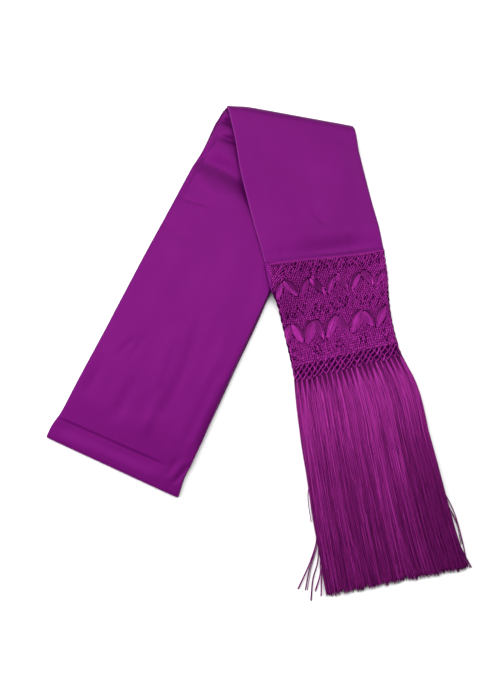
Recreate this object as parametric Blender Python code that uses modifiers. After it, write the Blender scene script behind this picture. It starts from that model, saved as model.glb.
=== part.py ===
"""Rebozo shawl, folded lengthwise and laid flat in a V, with its knotted band and fringe.

The long strip lies folded in four along its length. Its lower stretch turns back under itself
at a straight fold, its upper stretch comes over it from a slanting fold at the top, and ends in
an openwork knotted band and a loose fringe. Tables are in millimetres, the scene in metres.
"""
import math

import bmesh
import bpy
import numpy as np

MM = 0.001

# Cloth, mm
WALL = 1.2                # one visible layer of cloth
GAP = 0.3                 # clearance between one piece and the next
INSET = WALL + GAP        # from a visible face down to the layers under it
LOWER_HEIGHT = 9.0        # whole lower stack, twelve layers and the air in them
LOWER_FOLD_HEIGHT = 5.5   # outer pass alone, at the straight fold
UPPER_LAYERS = 2.8        # three hidden layers of the upper stretch
UPPER_HEIGHT = UPPER_LAYERS + INSET
REST_GAP = 0.5            # the upper stretch lies this far above the lower one

# Lower stretch: its own axis runs from the straight fold up to the slanting fold
LOWER_ORIGIN = (-171.8, -168.0)
LOWER_ANGLE = math.radians(66.5)
LOWER_RIGHT_EDGE = 88.5
# left s, left t, right s, right t, top: s along the axis, t across it
LOWER_ROWS = (
    (6.0, -92.3, 1.5, 91.8, 5.5),
    (16.0, -93.0, 11.5, 90.4, 5.7),
    (28.0, -91.2, 23.0, 88.9, 5.3),
    (34.5, -89.7, 29.5, 89.3, 4.7),
    (39.0, -89.3, 34.0, 89.7, 7.2),
    (47.0, -89.2, 43.0, 90.0, 8.8),
    (75.0, -89.0, 72.0, 90.0, 9.0),
    (150.0, -88.4, 148.0, 89.2, 9.0),
    (260.0, -88.1, 260.0, 88.3, 9.0),
    (360.0, -87.0, 362.0, 88.5, 9.0),
    (425.0, -86.3, 440.0, 89.5, 8.6),
    (470.0, -85.2, 495.0, 92.0, 8.8),
    (505.0, -85.8, 535.0, 95.0, 9.0),
    (522.0, -84.5, 560.0, 96.0, 9.0),
)
STRAIGHT_FOLD_S = (2.0, -2.5)             # outermost line of the straight fold, left and right
STRAIGHT_FOLD_TURN = (-35, -5, 25, 55)    # degrees round that fold
STRAIGHT_FOLD_LIP = 0.8                   # drop of the cloth's long edges on that turn
INNER_END = (2.0, 1.8, 3.7)               # layers' end in that fold: reach, bottom and top

# Slanting fold: a roll along this line, higher and more open at its left end
FOLD_LEFT = np.array((-33.0, 357.0))
FOLD_RIGHT = np.array((147.0, 319.0))
FOLD_DEPTH = 10.0
FOLD_TOP = (17.0, 14.6)                   # height of the roll at its left and right ends
FOLD_SHEAR = 5.0                          # how far its turn also runs sideways, over and under
FOLD_WALL_TURN = (-30, -5, 20, 45, 68, 90)
FOLD_LAYER_TURN = (-90, -60)              # where only the layers go round
FOLD_EASE = 0.2                           # fraction of the upper stretch where the roll flattens

# Edges of the upper stretch, the band and the fringe, from the fold to the ends
UPPER_LEFT = ((-33.0, 357.0), (-29.6, 345.0), (-26.0, 326.4), (-21.9, 306.4), (-13.6, 251.3),
              (-5.7, 213.5), (4.6, 168.3), (17.4, 117.9), (20.3, 104.6))
UPPER_RIGHT = ((147.0, 319.0), (150.0, 306.0), (164.4, 214.0), (173.0, 171.0), (179.6, 131.3))
UPPER_STATIONS = (0.085, 0.13, 0.19, 0.26, 0.34, 0.43, 0.52, 0.61, 0.70, 0.79, 0.88, 0.95, 1.0)
BAND_LEFT = ((20.4, 104.2), (28.2, 68.0), (35.5, 50.0), (41.2, 30.1), (49.2, -2.3),
             (54.0, -32.8), (56.3, -51.6))
BAND_RIGHT = ((179.7, 130.9), (181.6, 95.1), (183.0, 65.4), (184.3, 38.9), (189.3, 5.8),
              (194.8, -15.2))
FRINGE_LEFT = ((56.3, -52.0), (58.4, -79.9), (63.8, -132.8), (70.3, -184.1), (75.4, -234.0),
               (79.1, -282.5), (83.0, -320.0))
FRINGE_RIGHT = ((194.9, -15.6), (206.0, -37.4), (222.6, -73.2), (232.3, -119.7),
                (243.0, -184.1), (252.0, -246.3), (259.0, -287.0))

# The upper stretch comes down off the lower stack over this distance past its right edge
DRAPE_START = 3.0
DRAPE_WIDTH = 32.0

# Cross-section of a stretch
FLATS = 14                                # points across its face
EDGE_TURN = (5, 35, 65)                   # degrees round a long edge, up to the face
# out from the edge, height as a fraction of the lip: two layers that show under the top one
EDGE_LAYERS = ((-1.5, 0.90), (-0.2, 0.74), (-1.4, 0.52), (0.1, 0.28), (-0.8, 0.0))

# Knotted band
BAND_WALL = 1.5
BAND_HEIGHT = 5.0
BAND_SIDE = (0.004, 0.985)                # the top layer's share of the width
BAND_LAYER_GAP = 0.95                     # under the openwork layer, which bends more finely
# places across and along the layers under it, closer together where they come down a slope
BAND_LAYER_PLACES = (0.014, 0.05, 0.10, 0.15, 0.21, 0.27, 0.34, 0.42, 0.52, 0.67, 0.82, 0.980)
BAND_LAYER_STATIONS = (0.002, 0.06, 0.12, 0.18, 0.24, 0.30, 0.36, 0.42, 0.50, 0.60, 0.72, 0.85,
                       1.0)
NET_COLUMNS = 20
COLUMNS = 2 * NET_COLUMNS
LEAF_RAISE = 1.1
LEAF_SPACING = 0.22                       # from the foot of one pair of leaves to the next
LEAF_HALF_WIDTH = 0.15                    # of that spacing
LEAF_SPREAD = (0.40, 0.06)                # leaf's place from its foot, at its top and its end
UPPER_LEAF_FEET = (0.0, 0.216, 0.45, 0.656, 0.88)
LOWER_LEAF_FEET = (-0.06, 0.165, 0.36, 0.596, 0.83, 1.05)
ROSETTE_COLUMNS = (2, 11, 19, 28, 36)
# kind, start and end as fractions of the band's length, rows, where the leaves' feet are
BAND_ZONES = (
    ("plain", 0.000, 0.014, 1, ()),
    ("net", 0.014, 0.108, 2, ()),
    ("leaf", 0.108, 0.335, 4, UPPER_LEAF_FEET),
    ("plain", 0.335, 0.390, 1, ()),
    ("net", 0.390, 0.495, 2, ()),
    ("leaf", 0.495, 0.735, 4, LOWER_LEAF_FEET),
    ("rosette", 0.735, 0.880, 4, ()),
    ("net", 0.880, 1.000, 3, ()),
)
NET_HOLE = (0.68, 0.74)                   # width and length, of a net's cell
ROSETTE_HOLE = (0.86, 0.84)               # of its smaller cell

# Fringe: locks in three layers, each layer hanging from its own strip
LAYER_LOCKS = 44
LOCK_WIDTH = 0.62                         # of the lock's share of the width
LOCK_STATIONS = (0.16, 0.55, 1.0)         # of the fringe's length
STRIP_END = 0.012
ROOT_WIDTH = 0.80                         # of the lock's share, where it leaves the strip
ROOT_SPAN = (0.15, 0.70)                  # root's base and height, of the strip's thickness
# name, base and thickness at the strip, the middle and the ends, start and end of the width,
# length
FRINGE_LAYERS = (
    ("fringe_lower", (0.0, 1.6), (0.4, 2.2), (0.35, 1.6), 0.000, 1.000, 0.985),
    ("fringe_middle", (1.9, 1.4), (2.9, 2.0), (2.25, 1.5), 0.006, 0.992, 1.000),
    ("fringe_upper", (3.6, 1.4), (5.2, 1.8), (4.0, 1.4), 0.012, 0.970, 0.992),
)
END_UNEVEN = 0.008                        # how far the locks' ends differ, of their length
END_WAVE = 2.7                            # radians from one lock to the next
# layer, lock, how far its end strays sideways
STRAYS = (
    ("fringe_middle", 0, -20.0),
    ("fringe_middle", 1, -13.0),
    ("fringe_middle", 2, -6.0),
    ("fringe_middle", LAYER_LOCKS - 1, 5.0),
)

# colour, roughness
SATIN = ((0.235, 0.009, 0.205, 1.0), 0.42)
SATIN_LAYERS = ((0.120, 0.005, 0.100, 1.0), 0.60)
KNOTTED = ((0.210, 0.012, 0.165, 1.0), 0.55)
KNOTTED_LAYERS = ((0.095, 0.005, 0.078, 1.0), 0.80)
THREAD = ((0.270, 0.018, 0.235, 1.0), 0.50)


def smooth(t):
    """Ease from 0 to 1."""
    t = np.clip(t, 0.0, 1.0)
    return t * t * (3.0 - 2.0 * t)


def mix(a, b, t):
    """The value that far from a to b."""
    return a + (b - a) * t


def along(edge, fraction):
    """The point that far along an edge, by its length."""
    edge = np.asarray(edge, float)
    steps = np.hypot(*np.diff(edge, axis=0).T)
    run = np.concatenate(([0.0], np.cumsum(steps))) / steps.sum()
    return np.array([np.interp(fraction, run, edge[:, 0]), np.interp(fraction, run, edge[:, 1])])


AXIS = np.array((math.cos(LOWER_ANGLE), math.sin(LOWER_ANGLE)))
ACROSS = np.array((math.sin(LOWER_ANGLE), -math.cos(LOWER_ANGLE)))


def lower_point(s, t):
    """World x and y of a place on the lower stretch."""
    return np.asarray(LOWER_ORIGIN) + AXIS * s + ACROSS * t


def under_side(xy):
    """Height of the upper stretch's underside: on the lower stack, then down to the surface."""
    t = float(np.dot(np.asarray(xy) - LOWER_ORIGIN, ACROSS))
    past = (t - LOWER_RIGHT_EDGE - DRAPE_START) / DRAPE_WIDTH
    return (LOWER_HEIGHT + REST_GAP) * (1.0 - float(smooth(past)))


# ---------------------------------------------------------------- rows of a stretch

def face_row(left, right, normal, turn, sink, height):
    """Outer points across one row: round the left edge, over the face, round the right edge.

    left and right are the edges' outermost points, normal faces away from the layers, turn is
    the edges' radius, sink how far their lip drops, and height(xy) gives the face's height, or
    is None where left and right are already on the face.
    """
    side = (right - left) / np.linalg.norm(right - left)
    rows = []
    for degrees in EDGE_TURN:
        a = math.radians(degrees)
        rows.append((left + side * turn * (1 - math.cos(a)), sink * (1 - math.sin(a))))
    for u in np.linspace(0.0, 1.0, FLATS):
        rows.append((mix(left + side * turn, right - side * turn, u), 0.0))
    for degrees in reversed(EDGE_TURN):
        a = math.radians(degrees)
        rows.append((right - side * turn * (1 - math.cos(a)), sink * (1 - math.sin(a))))
    points = []
    for place, drop in rows:
        point = place.copy()
        if height:
            point[2] = height(place[:2])
        points.append(point - normal * drop)
    return points


def lower_rows():
    """Outer points of the lower stretch's visible cloth, from under the straight fold."""
    rows = []
    radius = LOWER_FOLD_HEIGHT / 2
    first = LOWER_ROWS[0]
    for degrees in STRAIGHT_FOLD_TURN:
        a = math.radians(degrees)
        back = radius * (1 - math.cos(a))
        z = radius * (1 + math.sin(a))
        left = np.append(lower_point(STRAIGHT_FOLD_S[0] + back, first[1]), z)
        right = np.append(lower_point(STRAIGHT_FOLD_S[1] + back, first[3]), z)
        normal = np.append(-AXIS * math.cos(a), math.sin(a))
        rows.append(face_row(left, right, normal, radius, STRAIGHT_FOLD_LIP, None))
    up = np.array((0.0, 0.0, 1.0))
    for left_s, left_t, right_s, right_t, top in LOWER_ROWS:
        left = np.append(lower_point(left_s, left_t), top)
        right = np.append(lower_point(right_s, right_t), top)
        rows.append(face_row(left, right, up, top / 2, top / 2, None))
    return rows


FOLD_SIDE = (FOLD_RIGHT - FOLD_LEFT) / np.linalg.norm(FOLD_RIGHT - FOLD_LEFT)
FOLD_OUT = np.array((-FOLD_SIDE[1], FOLD_SIDE[0]))


def fold_ends(a, inset, lift):
    """Ends of the line at that angle round the slanting fold, moved in and lifted."""
    back = FOLD_DEPTH - (FOLD_DEPTH - inset) * math.cos(a)
    sideways = math.copysign(FOLD_SHEAR * (1 - math.cos(a)), a)
    ends = []
    for place, top in zip((FOLD_LEFT, FOLD_RIGHT), FOLD_TOP):
        plan = place - FOLD_OUT * back + FOLD_SIDE * sideways
        ends.append(np.append(plan, (top / 2 + lift) * (1 + math.sin(a))))
    return ends


def fold_row(degrees):
    """Outer points of one row round the slanting fold."""
    a = math.radians(degrees)
    left, right = fold_ends(a, 0.0, 0.0)
    normal = np.append(FOLD_OUT * math.cos(a), math.sin(a))
    turn = UPPER_HEIGHT / 2
    return face_row(left, right, normal, turn, turn, None)


def upper_rows():
    """Outer points of the upper stretch's visible cloth: round the fold, then down to the band."""
    rows = [fold_row(degrees) for degrees in FOLD_WALL_TURN]
    up = np.array((0.0, 0.0, 1.0))
    turn = UPPER_HEIGHT / 2
    for station in UPPER_STATIONS:
        left = np.append(along(UPPER_LEFT, station), 0.0)
        right = np.append(along(UPPER_RIGHT, station), 0.0)
        ease = 1.0 - float(smooth(station / FOLD_EASE))

        def height(xy):
            share = np.dot(xy - left[:2], right[:2] - left[:2]) / np.sum((right - left) ** 2)
            roll = mix(FOLD_TOP[0], FOLD_TOP[1], share)
            rest = under_side(xy) + UPPER_HEIGHT
            return rest + ease * max(roll - LOWER_HEIGHT - REST_GAP - UPPER_HEIGHT, 0.0)

        rows.append(face_row(left, right, up, turn, turn, height))
    return rows


# ---------------------------------------------------------------- meshes

def mesh_object(name, verts, faces, collection, root, finish):
    """An object of that shape, in metres, with its own material."""
    colour, roughness = finish
    mesh = bpy.data.meshes.new(name)
    mesh.from_pydata([tuple(float(c) * MM for c in v) for v in verts], [], faces)
    obj = bpy.data.objects.new(name, mesh)
    collection.objects.link(obj)
    obj.parent = root
    work = bmesh.new()
    work.from_mesh(mesh)
    bmesh.ops.recalc_face_normals(work, faces=work.faces)
    work.to_mesh(mesh)
    work.free()
    mesh.shade_smooth()
    mesh.set_sharp_from_angle(angle=math.radians(40))
    material = bpy.data.materials.new(name)
    material.use_nodes = True
    shader = material.node_tree.nodes["Principled BSDF"]
    shader.inputs["Base Color"].default_value = colour
    shader.inputs["Roughness"].default_value = roughness
    shader.inputs["Metallic"].default_value = 0.0
    mesh.materials.append(material)
    return obj


def grid_faces(rows, columns):
    """Quads of a grid whose points run row by row."""
    faces = []
    for i in range(rows - 1):
        for j in range(columns - 1):
            a = i * columns + j
            faces.append((a, a + 1, a + columns + 1, a + columns))
    return faces


def moved_in(rows, depth):
    """The same rows, moved in from a face along its own normals."""
    columns = len(rows[0])
    mesh = bpy.data.meshes.new("face")
    mesh.from_pydata([tuple(p) for row in rows for p in row], [], grid_faces(len(rows), columns))
    mesh.update()
    normals = np.array([v.normal for v in mesh.vertices])
    bpy.data.meshes.remove(mesh)
    points = np.array([p for row in rows for p in row])
    middle = columns // 2
    if normals[(len(rows) - 2) * columns + middle][2] < 0:
        normals = -normals
    return (points - normals * depth).reshape(len(rows), columns, 3)


def thicken(obj, label, thickness):
    """Give an open surface that thickness, inward from a face that looks up."""
    if sum(p.normal.z for p in obj.data.polygons) < 0:
        obj.data.flip_normals()
    solid = obj.modifiers.new(label, "SOLIDIFY")
    solid.thickness = thickness * MM
    solid.offset = -1.0
    solid.use_even_offset = False


def wall_object(name, rows, collection, root):
    """One layer of cloth whose outer face has those rows."""
    verts = [p for row in rows for p in row]
    obj = mesh_object(name, verts, grid_faces(len(rows), len(rows[0])), collection, root, SATIN)
    thicken(obj, "cloth", WALL)


def loft_object(name, rings, collection, root, finish):
    """A closed solid through rings of equally many points, capped at both ends."""
    count = len(rings[0])
    faces = []
    for i in range(len(rings) - 1):
        for j in range(count):
            k = (j + 1) % count
            faces.append((i * count + j, i * count + k, (i + 1) * count + k, (i + 1) * count + j))
    faces.append(tuple(range(count)))
    last = (len(rings) - 1) * count
    faces.append(tuple(range(last + count - 1, last - 1, -1)))
    verts = [p for ring in rings for p in ring]
    mesh_object(name, verts, faces, collection, root, finish)


# ---------------------------------------------------------------- hidden layers

def edge_points(edge, out, normal, lip, base):
    """The layers that show under one edge, from the lip down to the base."""
    top = np.dot(lip, normal)
    bottom = np.dot(base, normal)
    points = []
    for reach, share in EDGE_LAYERS:
        point = edge + out * reach
        points.append(point + normal * (mix(bottom, top, share) - np.dot(point, normal)))
    return points


def layer_ring(face, base, normal, left, right, face_outside):
    """A ring round the hidden layers: their face under the cloth, their edges and their base.

    It starts on the side that faces out of the V, which is the base in the lower stretch and
    the face in the upper one.
    """
    turns = len(EDGE_TURN)
    side = (right - left) / np.linalg.norm(right - left)
    flats = list(face[turns:-turns])
    right_turn = list(face[-turns:])
    left_turn = list(face[:turns])
    right_edge = edge_points(right, side, normal, right_turn[-1], base[-1])
    left_edge = edge_points(left, -side, normal, left_turn[0], base[0])
    if face_outside:
        return flats + right_turn + right_edge + base[::-1] + left_edge[::-1] + left_turn
    return (base + right_edge[::-1] + right_turn[::-1] + flats[::-1] + left_turn[::-1]
            + left_edge)


def layer_rings(lower, upper):
    """Rings of the one solid that holds every hidden layer of cloth.

    It runs under the lower stretch, round the slanting fold and under the upper stretch.
    """
    turns = len(EDGE_TURN)
    up = np.array((0.0, 0.0, 1.0))
    rings = []

    lower_faces = moved_in(lower, INSET)
    for row, face in list(zip(lower, lower_faces))[len(STRAIGHT_FOLD_TURN):]:
        base = [np.array((p[0], p[1], 0.0)) for p in row[turns:-turns]]
        rings.append(layer_ring(face, base, up, row[0], row[-1], False))
    reach, bottom, top = INNER_END
    inner = [p - np.append(AXIS * reach, 0.0) for p in rings[0]]
    for point in inner:
        point[2] = mix(bottom, top, point[2] / (LOWER_ROWS[0][4] - INSET))
    rings.insert(0, inner)

    def thickness(degrees):
        share = float(smooth((degrees + 90.0) / 180.0))
        return mix(LOWER_HEIGHT - INSET, UPPER_LAYERS, share)

    for degrees in FOLD_LAYER_TURN:
        a = math.radians(degrees)
        ends = fold_ends(a, INSET, INSET)
        normal = np.append(FOLD_OUT * math.cos(a), math.sin(a))
        side = np.append(FOLD_SIDE, 0.0)
        turn = UPPER_HEIGHT / 2 - INSET
        face = face_row(ends[0] + side * INSET, ends[1] - side * INSET, normal, turn, turn, None)
        base = [p - normal * thickness(degrees) for p in face[turns:-turns]]
        rings.append(layer_ring(face, base, normal, ends[0], ends[1], True))

    upper_faces = moved_in(upper, INSET)
    for k, (row, face) in enumerate(zip(upper, upper_faces)):
        if k < len(FOLD_WALL_TURN):
            a = math.radians(FOLD_WALL_TURN[k])
            normal = np.append(FOLD_OUT * math.cos(a), math.sin(a))
            base = [p - normal * thickness(FOLD_WALL_TURN[k]) for p in face[turns:-turns]]
        else:
            normal = up
            base = [p - up * UPPER_HEIGHT for p in row[turns:-turns]]
        rings.append(layer_ring(face, base, normal, row[0], row[-1], True))
    return rings


# ---------------------------------------------------------------- knotted band

def band_point(u, f, height):
    """A point of the band: u across it, f along it, that high over what it lies on."""
    xy = mix(along(BAND_LEFT, f), along(BAND_RIGHT, f), u)
    return np.append(xy, under_side(xy) + height)


def leaf_height(u, f, start, end, feet):
    """How far the wrapped leaf bundles stand out at a place of a leaf zone."""
    down = (f - start) / (end - start)
    spread = mix(LEAF_SPREAD[0], LEAF_SPREAD[1], down)
    nearest = min(abs((u - foot) / LEAF_SPACING - lean * spread)
                  for foot in feet for lean in (-1.0, 1.0))
    body = math.sin(math.pi * min(max(down, 0.0), 1.0))
    return LEAF_RAISE * max(0.0, 1.0 - (nearest / LEAF_HALF_WIDTH) ** 2) * body


def band_surface():
    """Plan places (u, f), faces and raised heights of the band's openwork top layer."""
    places, faces, raises = [], [], []

    def add(u, f, raised=0.0):
        places.append((mix(BAND_SIDE[0], BAND_SIDE[1], u), f))
        raises.append(raised)
        return len(places) - 1

    def ring_faces(outline, hole):
        """Triangles between a cell's outline of six points and its four-sided hole."""
        a, b, c, d, e, g = outline
        top, right, bottom, left = hole
        return [(a, b, top), (b, c, top), (c, right, top), (c, d, right), (d, bottom, right),
                (d, e, bottom), (e, g, bottom), (g, left, bottom), (g, a, left), (a, top, left)]

    def diamond(middle, width, length):
        u, f = middle
        return (add(u, f - length / 2), add(u + width / 2, f), add(u, f + length / 2),
                add(u - width / 2, f))

    line = [add(j / COLUMNS, 0.0) for j in range(COLUMNS + 1)]
    for kind, start, end, rows, feet in BAND_ZONES:
        for r in range(rows):
            f = mix(start, end, (r + 1) / rows)
            above = mix(start, end, r / rows)
            step = f - above
            fresh = []
            for j in range(COLUMNS + 1):
                u = j / COLUMNS
                raised = leaf_height(u, f, start, end, feet) if kind == "leaf" else 0.0
                fresh.append(add(u, f, raised))
            if kind == "net":
                shift = r % 2
                for j in range(shift, COLUMNS - 1, 2):
                    outline = (line[j], line[j + 1], line[j + 2], fresh[j + 2], fresh[j + 1],
                               fresh[j])
                    middle = ((j + 1) / COLUMNS, (f + above) / 2)
                    hole = diamond(middle, NET_HOLE[0] * 2 / COLUMNS, NET_HOLE[1] * step)
                    faces += ring_faces(outline, hole)
                if shift:
                    for j in (0, COLUMNS - 1):
                        faces.append((line[j], line[j + 1], fresh[j + 1], fresh[j]))
            else:
                for j in range(COLUMNS):
                    cell = (line[j], line[j + 1], fresh[j + 1], fresh[j])
                    if kind == "rosette" and rosette_cell(j, r):
                        middle = ((j + 0.5) / COLUMNS, (f + above) / 2)
                        hole = diamond(middle, ROSETTE_HOLE[0] / COLUMNS, ROSETTE_HOLE[1] * step)
                        top, right, bottom, left = hole
                        a, b, c, d = cell
                        faces += [(a, b, top), (b, right, top), (b, c, right),
                                  (c, bottom, right), (c, d, bottom), (d, left, bottom),
                                  (d, a, left), (a, top, left)]
                    else:
                        faces.append(cell)
            line = fresh
    return places, faces, raises


def rosette_cell(column, row):
    """Whether a cell of the rosette zone is one of a rosette's four holes."""
    return any((column - middle, row) in ((0, 0), (-1, 1), (1, 1), (0, 2))
               for middle in ROSETTE_COLUMNS)


def build_band(collection, root):
    """The openwork top layer of the band, its leaves raised over a plain inside."""
    places, faces, raises = band_surface()
    verts = [band_point(u, f, BAND_HEIGHT) for u, f in places]
    obj = mesh_object("knotted_band", verts, faces, collection, root, KNOTTED)
    thicken(obj, "net", BAND_WALL)
    bpy.context.view_layer.update()
    shape = obj.evaluated_get(bpy.context.evaluated_depsgraph_get())
    solid_mesh = bpy.data.meshes.new_from_object(shape)
    obj.modifiers.clear()
    obj.data = solid_mesh
    for vertex, raised in zip(solid_mesh.vertices, raises):
        vertex.co.z += raised * MM


def build_band_layers(collection, root):
    """The three folded layers of band under the openwork one, layered at their edges."""
    rings = []
    face_height = BAND_HEIGHT - BAND_WALL - BAND_LAYER_GAP
    for f in BAND_LAYER_STATIONS:
        top = [band_point(u, f, face_height) for u in BAND_LAYER_PLACES]
        base = [np.array((p[0], p[1], p[2] - face_height)) for p in top]
        left = band_point(0.0, f, 0.0)
        right = band_point(1.0, f, 0.0)
        side = np.append((right - left)[:2], 0.0)
        side = side / np.linalg.norm(side)
        up = np.array((0.0, 0.0, 1.0))
        right_edge = edge_points(right, side, up, top[-1], base[-1])
        left_edge = edge_points(left, -side, up, top[0], base[0])
        rings.append(top + right_edge + base[::-1] + left_edge[::-1])
    loft_object("knotted_band_layers", rings, collection, root, KNOTTED_LAYERS)


# ---------------------------------------------------------------- fringe

def fringe_point(across, down, height, sideways=0.0):
    """A point of the fringe: across it and down it, as fractions, at that height."""
    xy = mix(along(FRINGE_LEFT, down), along(FRINGE_RIGHT, down), across)
    return np.array((xy[0] + sideways, xy[1], height))


def build_fringe_layer(layer, collection, root):
    """A strip along the band's end and the locks that hang from it, as one solid."""
    name, strip, middle, tip, start, end, length = layer
    share = (end - start) / LAYER_LOCKS
    shift = {lock: far for owner, lock, far in STRAYS if owner == name}
    verts, faces = [], []

    def add(point):
        verts.append(point)
        return len(verts) - 1

    corners = []
    for k in range(LAYER_LOCKS + 1):
        across = start + share * k
        corners.append([add(fringe_point(across, down, height))
                        for down in (0.0, STRIP_END) for height in (strip[0], sum(strip))])
    for k in range(LAYER_LOCKS):
        back_low, back_high, low, high = corners[k]
        back_low2, back_high2, low2, high2 = corners[k + 1]
        faces += [(back_high, back_high2, high2, high), (back_low2, back_low, low, low2),
                  (back_low, back_low2, back_high2, back_high)]
        across = start + share * (k + 0.5)
        wave = math.sin(END_WAVE * k + middle[0])
        uneven = 1.0 - END_UNEVEN * (0.5 + 0.5 * wave)
        root_base = strip[0] + ROOT_SPAN[0] * strip[1]
        sections = [(STRIP_END, ROOT_WIDTH, root_base, ROOT_SPAN[1] * strip[1])]
        for down in LOCK_STATIONS:
            ease = abs(down - LOCK_STATIONS[1]) / (1.0 - LOCK_STATIONS[1])
            goal = tip if down > LOCK_STATIONS[1] else strip
            base = mix(middle[0], goal[0], min(ease, 1.0) ** 2)
            thick = mix(middle[1], goal[1], min(ease, 1.0) ** 2)
            sections.append((down * length * uneven, LOCK_WIDTH, base, thick))
        previous = None
        for down, width, base, thick in sections:
            far = shift.get(k, 0.0) * down ** 2
            half = share * width / 2
            ring = (add(fringe_point(across - half, down, base, far)),
                    add(fringe_point(across + half, down, base, far)),
                    add(fringe_point(across, down, base + thick, far)))
            if previous is None:
                a, b, c = ring
                faces += [(low, low2, b), (low, b, a), (low2, high2, b), (high2, c, b),
                          (high2, high, c), (high, a, c), (high, low, a)]
            else:
                for i in range(3):
                    j = (i + 1) % 3
                    faces.append((previous[i], previous[j], ring[j], ring[i]))
            previous = ring
        faces.append(previous)
    first, last = corners[0], corners[-1]
    faces += [(first[0], first[1], first[3], first[2]), (last[1], last[0], last[2], last[3])]
    mesh_object(name, verts, faces, collection, root, THREAD)


# ---------------------------------------------------------------- the shawl

def stand_on_origin(collection, root):
    """Move the shawl so that the origin is the middle of its underside's bounding box."""
    bpy.context.view_layer.update()
    depsgraph = bpy.context.evaluated_depsgraph_get()
    corners = []
    for obj in collection.objects:
        if obj.type != "MESH":
            continue
        shape = obj.evaluated_get(depsgraph)
        mesh = shape.to_mesh()
        corners += [obj.matrix_world @ v.co for v in mesh.vertices]
        shape.to_mesh_clear()
    points = np.array([tuple(c) for c in corners])
    low, high = points.min(axis=0), points.max(axis=0)
    root.location = (-(low[0] + high[0]) / 2, -(low[1] + high[1]) / 2, -low[2])


def main():
    for obj in list(bpy.data.objects):
        bpy.data.objects.remove(obj, do_unlink=True)
    collection = bpy.data.collections.new("rebozo_shawl")
    bpy.context.scene.collection.children.link(collection)
    root = bpy.data.objects.new("rebozo", None)
    collection.objects.link(root)

    lower = lower_rows()
    upper = upper_rows()
    wall_object("lower_stretch", lower, collection, root)
    wall_object("upper_stretch", upper, collection, root)
    loft_object("folded_layers", layer_rings(lower, upper), collection, root, SATIN_LAYERS)
    build_band(collection, root)
    build_band_layers(collection, root)
    for layer in FRINGE_LAYERS:
        build_fringe_layer(layer, collection, root)
    stand_on_origin(collection, root)


main()
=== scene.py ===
"""Dresses a folded rebozo shawl: satin cloth, its hidden layers, the knotted band, the fringe.

Tables are in millimetres from the middle of the shawl's V, and the scene is in metres.
"""
import math

import bpy
import numpy as np
from bpy.props import FloatProperty, FloatVectorProperty, IntProperty, PointerProperty
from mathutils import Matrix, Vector


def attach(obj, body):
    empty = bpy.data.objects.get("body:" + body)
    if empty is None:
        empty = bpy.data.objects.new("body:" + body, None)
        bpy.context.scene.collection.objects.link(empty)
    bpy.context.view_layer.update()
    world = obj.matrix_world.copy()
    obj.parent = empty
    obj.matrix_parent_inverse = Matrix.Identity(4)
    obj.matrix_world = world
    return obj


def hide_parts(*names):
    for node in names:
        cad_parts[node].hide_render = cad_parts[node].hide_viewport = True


bl_info = {
    "name": "Folded Rebozo Shawl",
    "version": (1, 0, 0),
    "blender": (4, 5, 0),
    "location": "View3D > Sidebar > Rebozo",
    "description": "Builds a satin rebozo shawl folded in a V, with its knotted band and fringe",
    "category": "Add Mesh",
}

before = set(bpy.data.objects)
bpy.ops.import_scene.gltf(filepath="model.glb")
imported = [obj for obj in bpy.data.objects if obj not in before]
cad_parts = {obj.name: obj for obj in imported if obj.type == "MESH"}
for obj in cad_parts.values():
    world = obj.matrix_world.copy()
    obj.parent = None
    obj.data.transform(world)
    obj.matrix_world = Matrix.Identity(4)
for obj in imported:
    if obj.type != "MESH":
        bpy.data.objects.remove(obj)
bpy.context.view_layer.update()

MM = 0.001
TABLE_ZERO = np.array((-3.1775, -18.9981, 0.0))   # the tables' zero, mm from the frame's origin
UP = np.array((0.0, 0.0, 1.0))
CLOTH_WIDTH = 178.0                 # of the folded strip, which its columns of points share out

# Lower stretch: s runs along its axis from the straight fold, t across it
LOWER_ORIGIN = np.array((-171.8, -168.0))
LOWER_ANGLE = math.radians(66.5)
AXIS = np.array((math.cos(LOWER_ANGLE), math.sin(LOWER_ANGLE)))
ACROSS = np.array((AXIS[1], -AXIS[0]))
LOWER_RIGHT_EDGE = 88.5
LOWER_HEIGHT = 9.0
# how far its cloth draws in at the left and at the right, and s from none of it to all of it
LOWER_INSETS = ((4.2, 430.0, 500.0), (1.2, 60.0, 150.0))
REST_GAP = 0.5
# left s, left t, right s, right t, height of the top
LOWER_ROWS = np.array((
    (6.0, -92.3, 1.5, 91.8, 5.5), (16.0, -92.6, 11.5, 90.4, 6.3), (28.0, -91.2, 23.0, 88.9, 6.7),
    (34.5, -90.0, 29.5, 88.9, 6.8), (39.0, -89.6, 34.0, 89.2, 7.0),
    (47.0, -89.2, 43.0, 89.8, 7.5), (75.0, -89.0, 72.0, 90.0, 8.6),
    (150.0, -88.4, 148.0, 89.2, 9.0), (260.0, -88.1, 260.0, 88.3, 9.0),
    (360.0, -87.0, 362.0, 88.5, 9.0), (425.0, -86.3, 440.0, 89.5, 8.6),
    (470.0, -85.2, 495.0, 92.0, 8.8), (505.0, -85.8, 535.0, 95.0, 9.0),
    (522.0, -84.5, 560.0, 96.0, 9.0),
))
HEM_ZONE = (14.0, 42.0)             # s between which the hem shows through
CREASE_ZONE = (46.0, 76.0)          # s in which the hem's creases give way to the others
STRAIGHT_FOLD_S = (2.0, -2.5)       # outermost line of the straight fold, left and right
STRAIGHT_FOLD_RADIUS = 2.75

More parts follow.
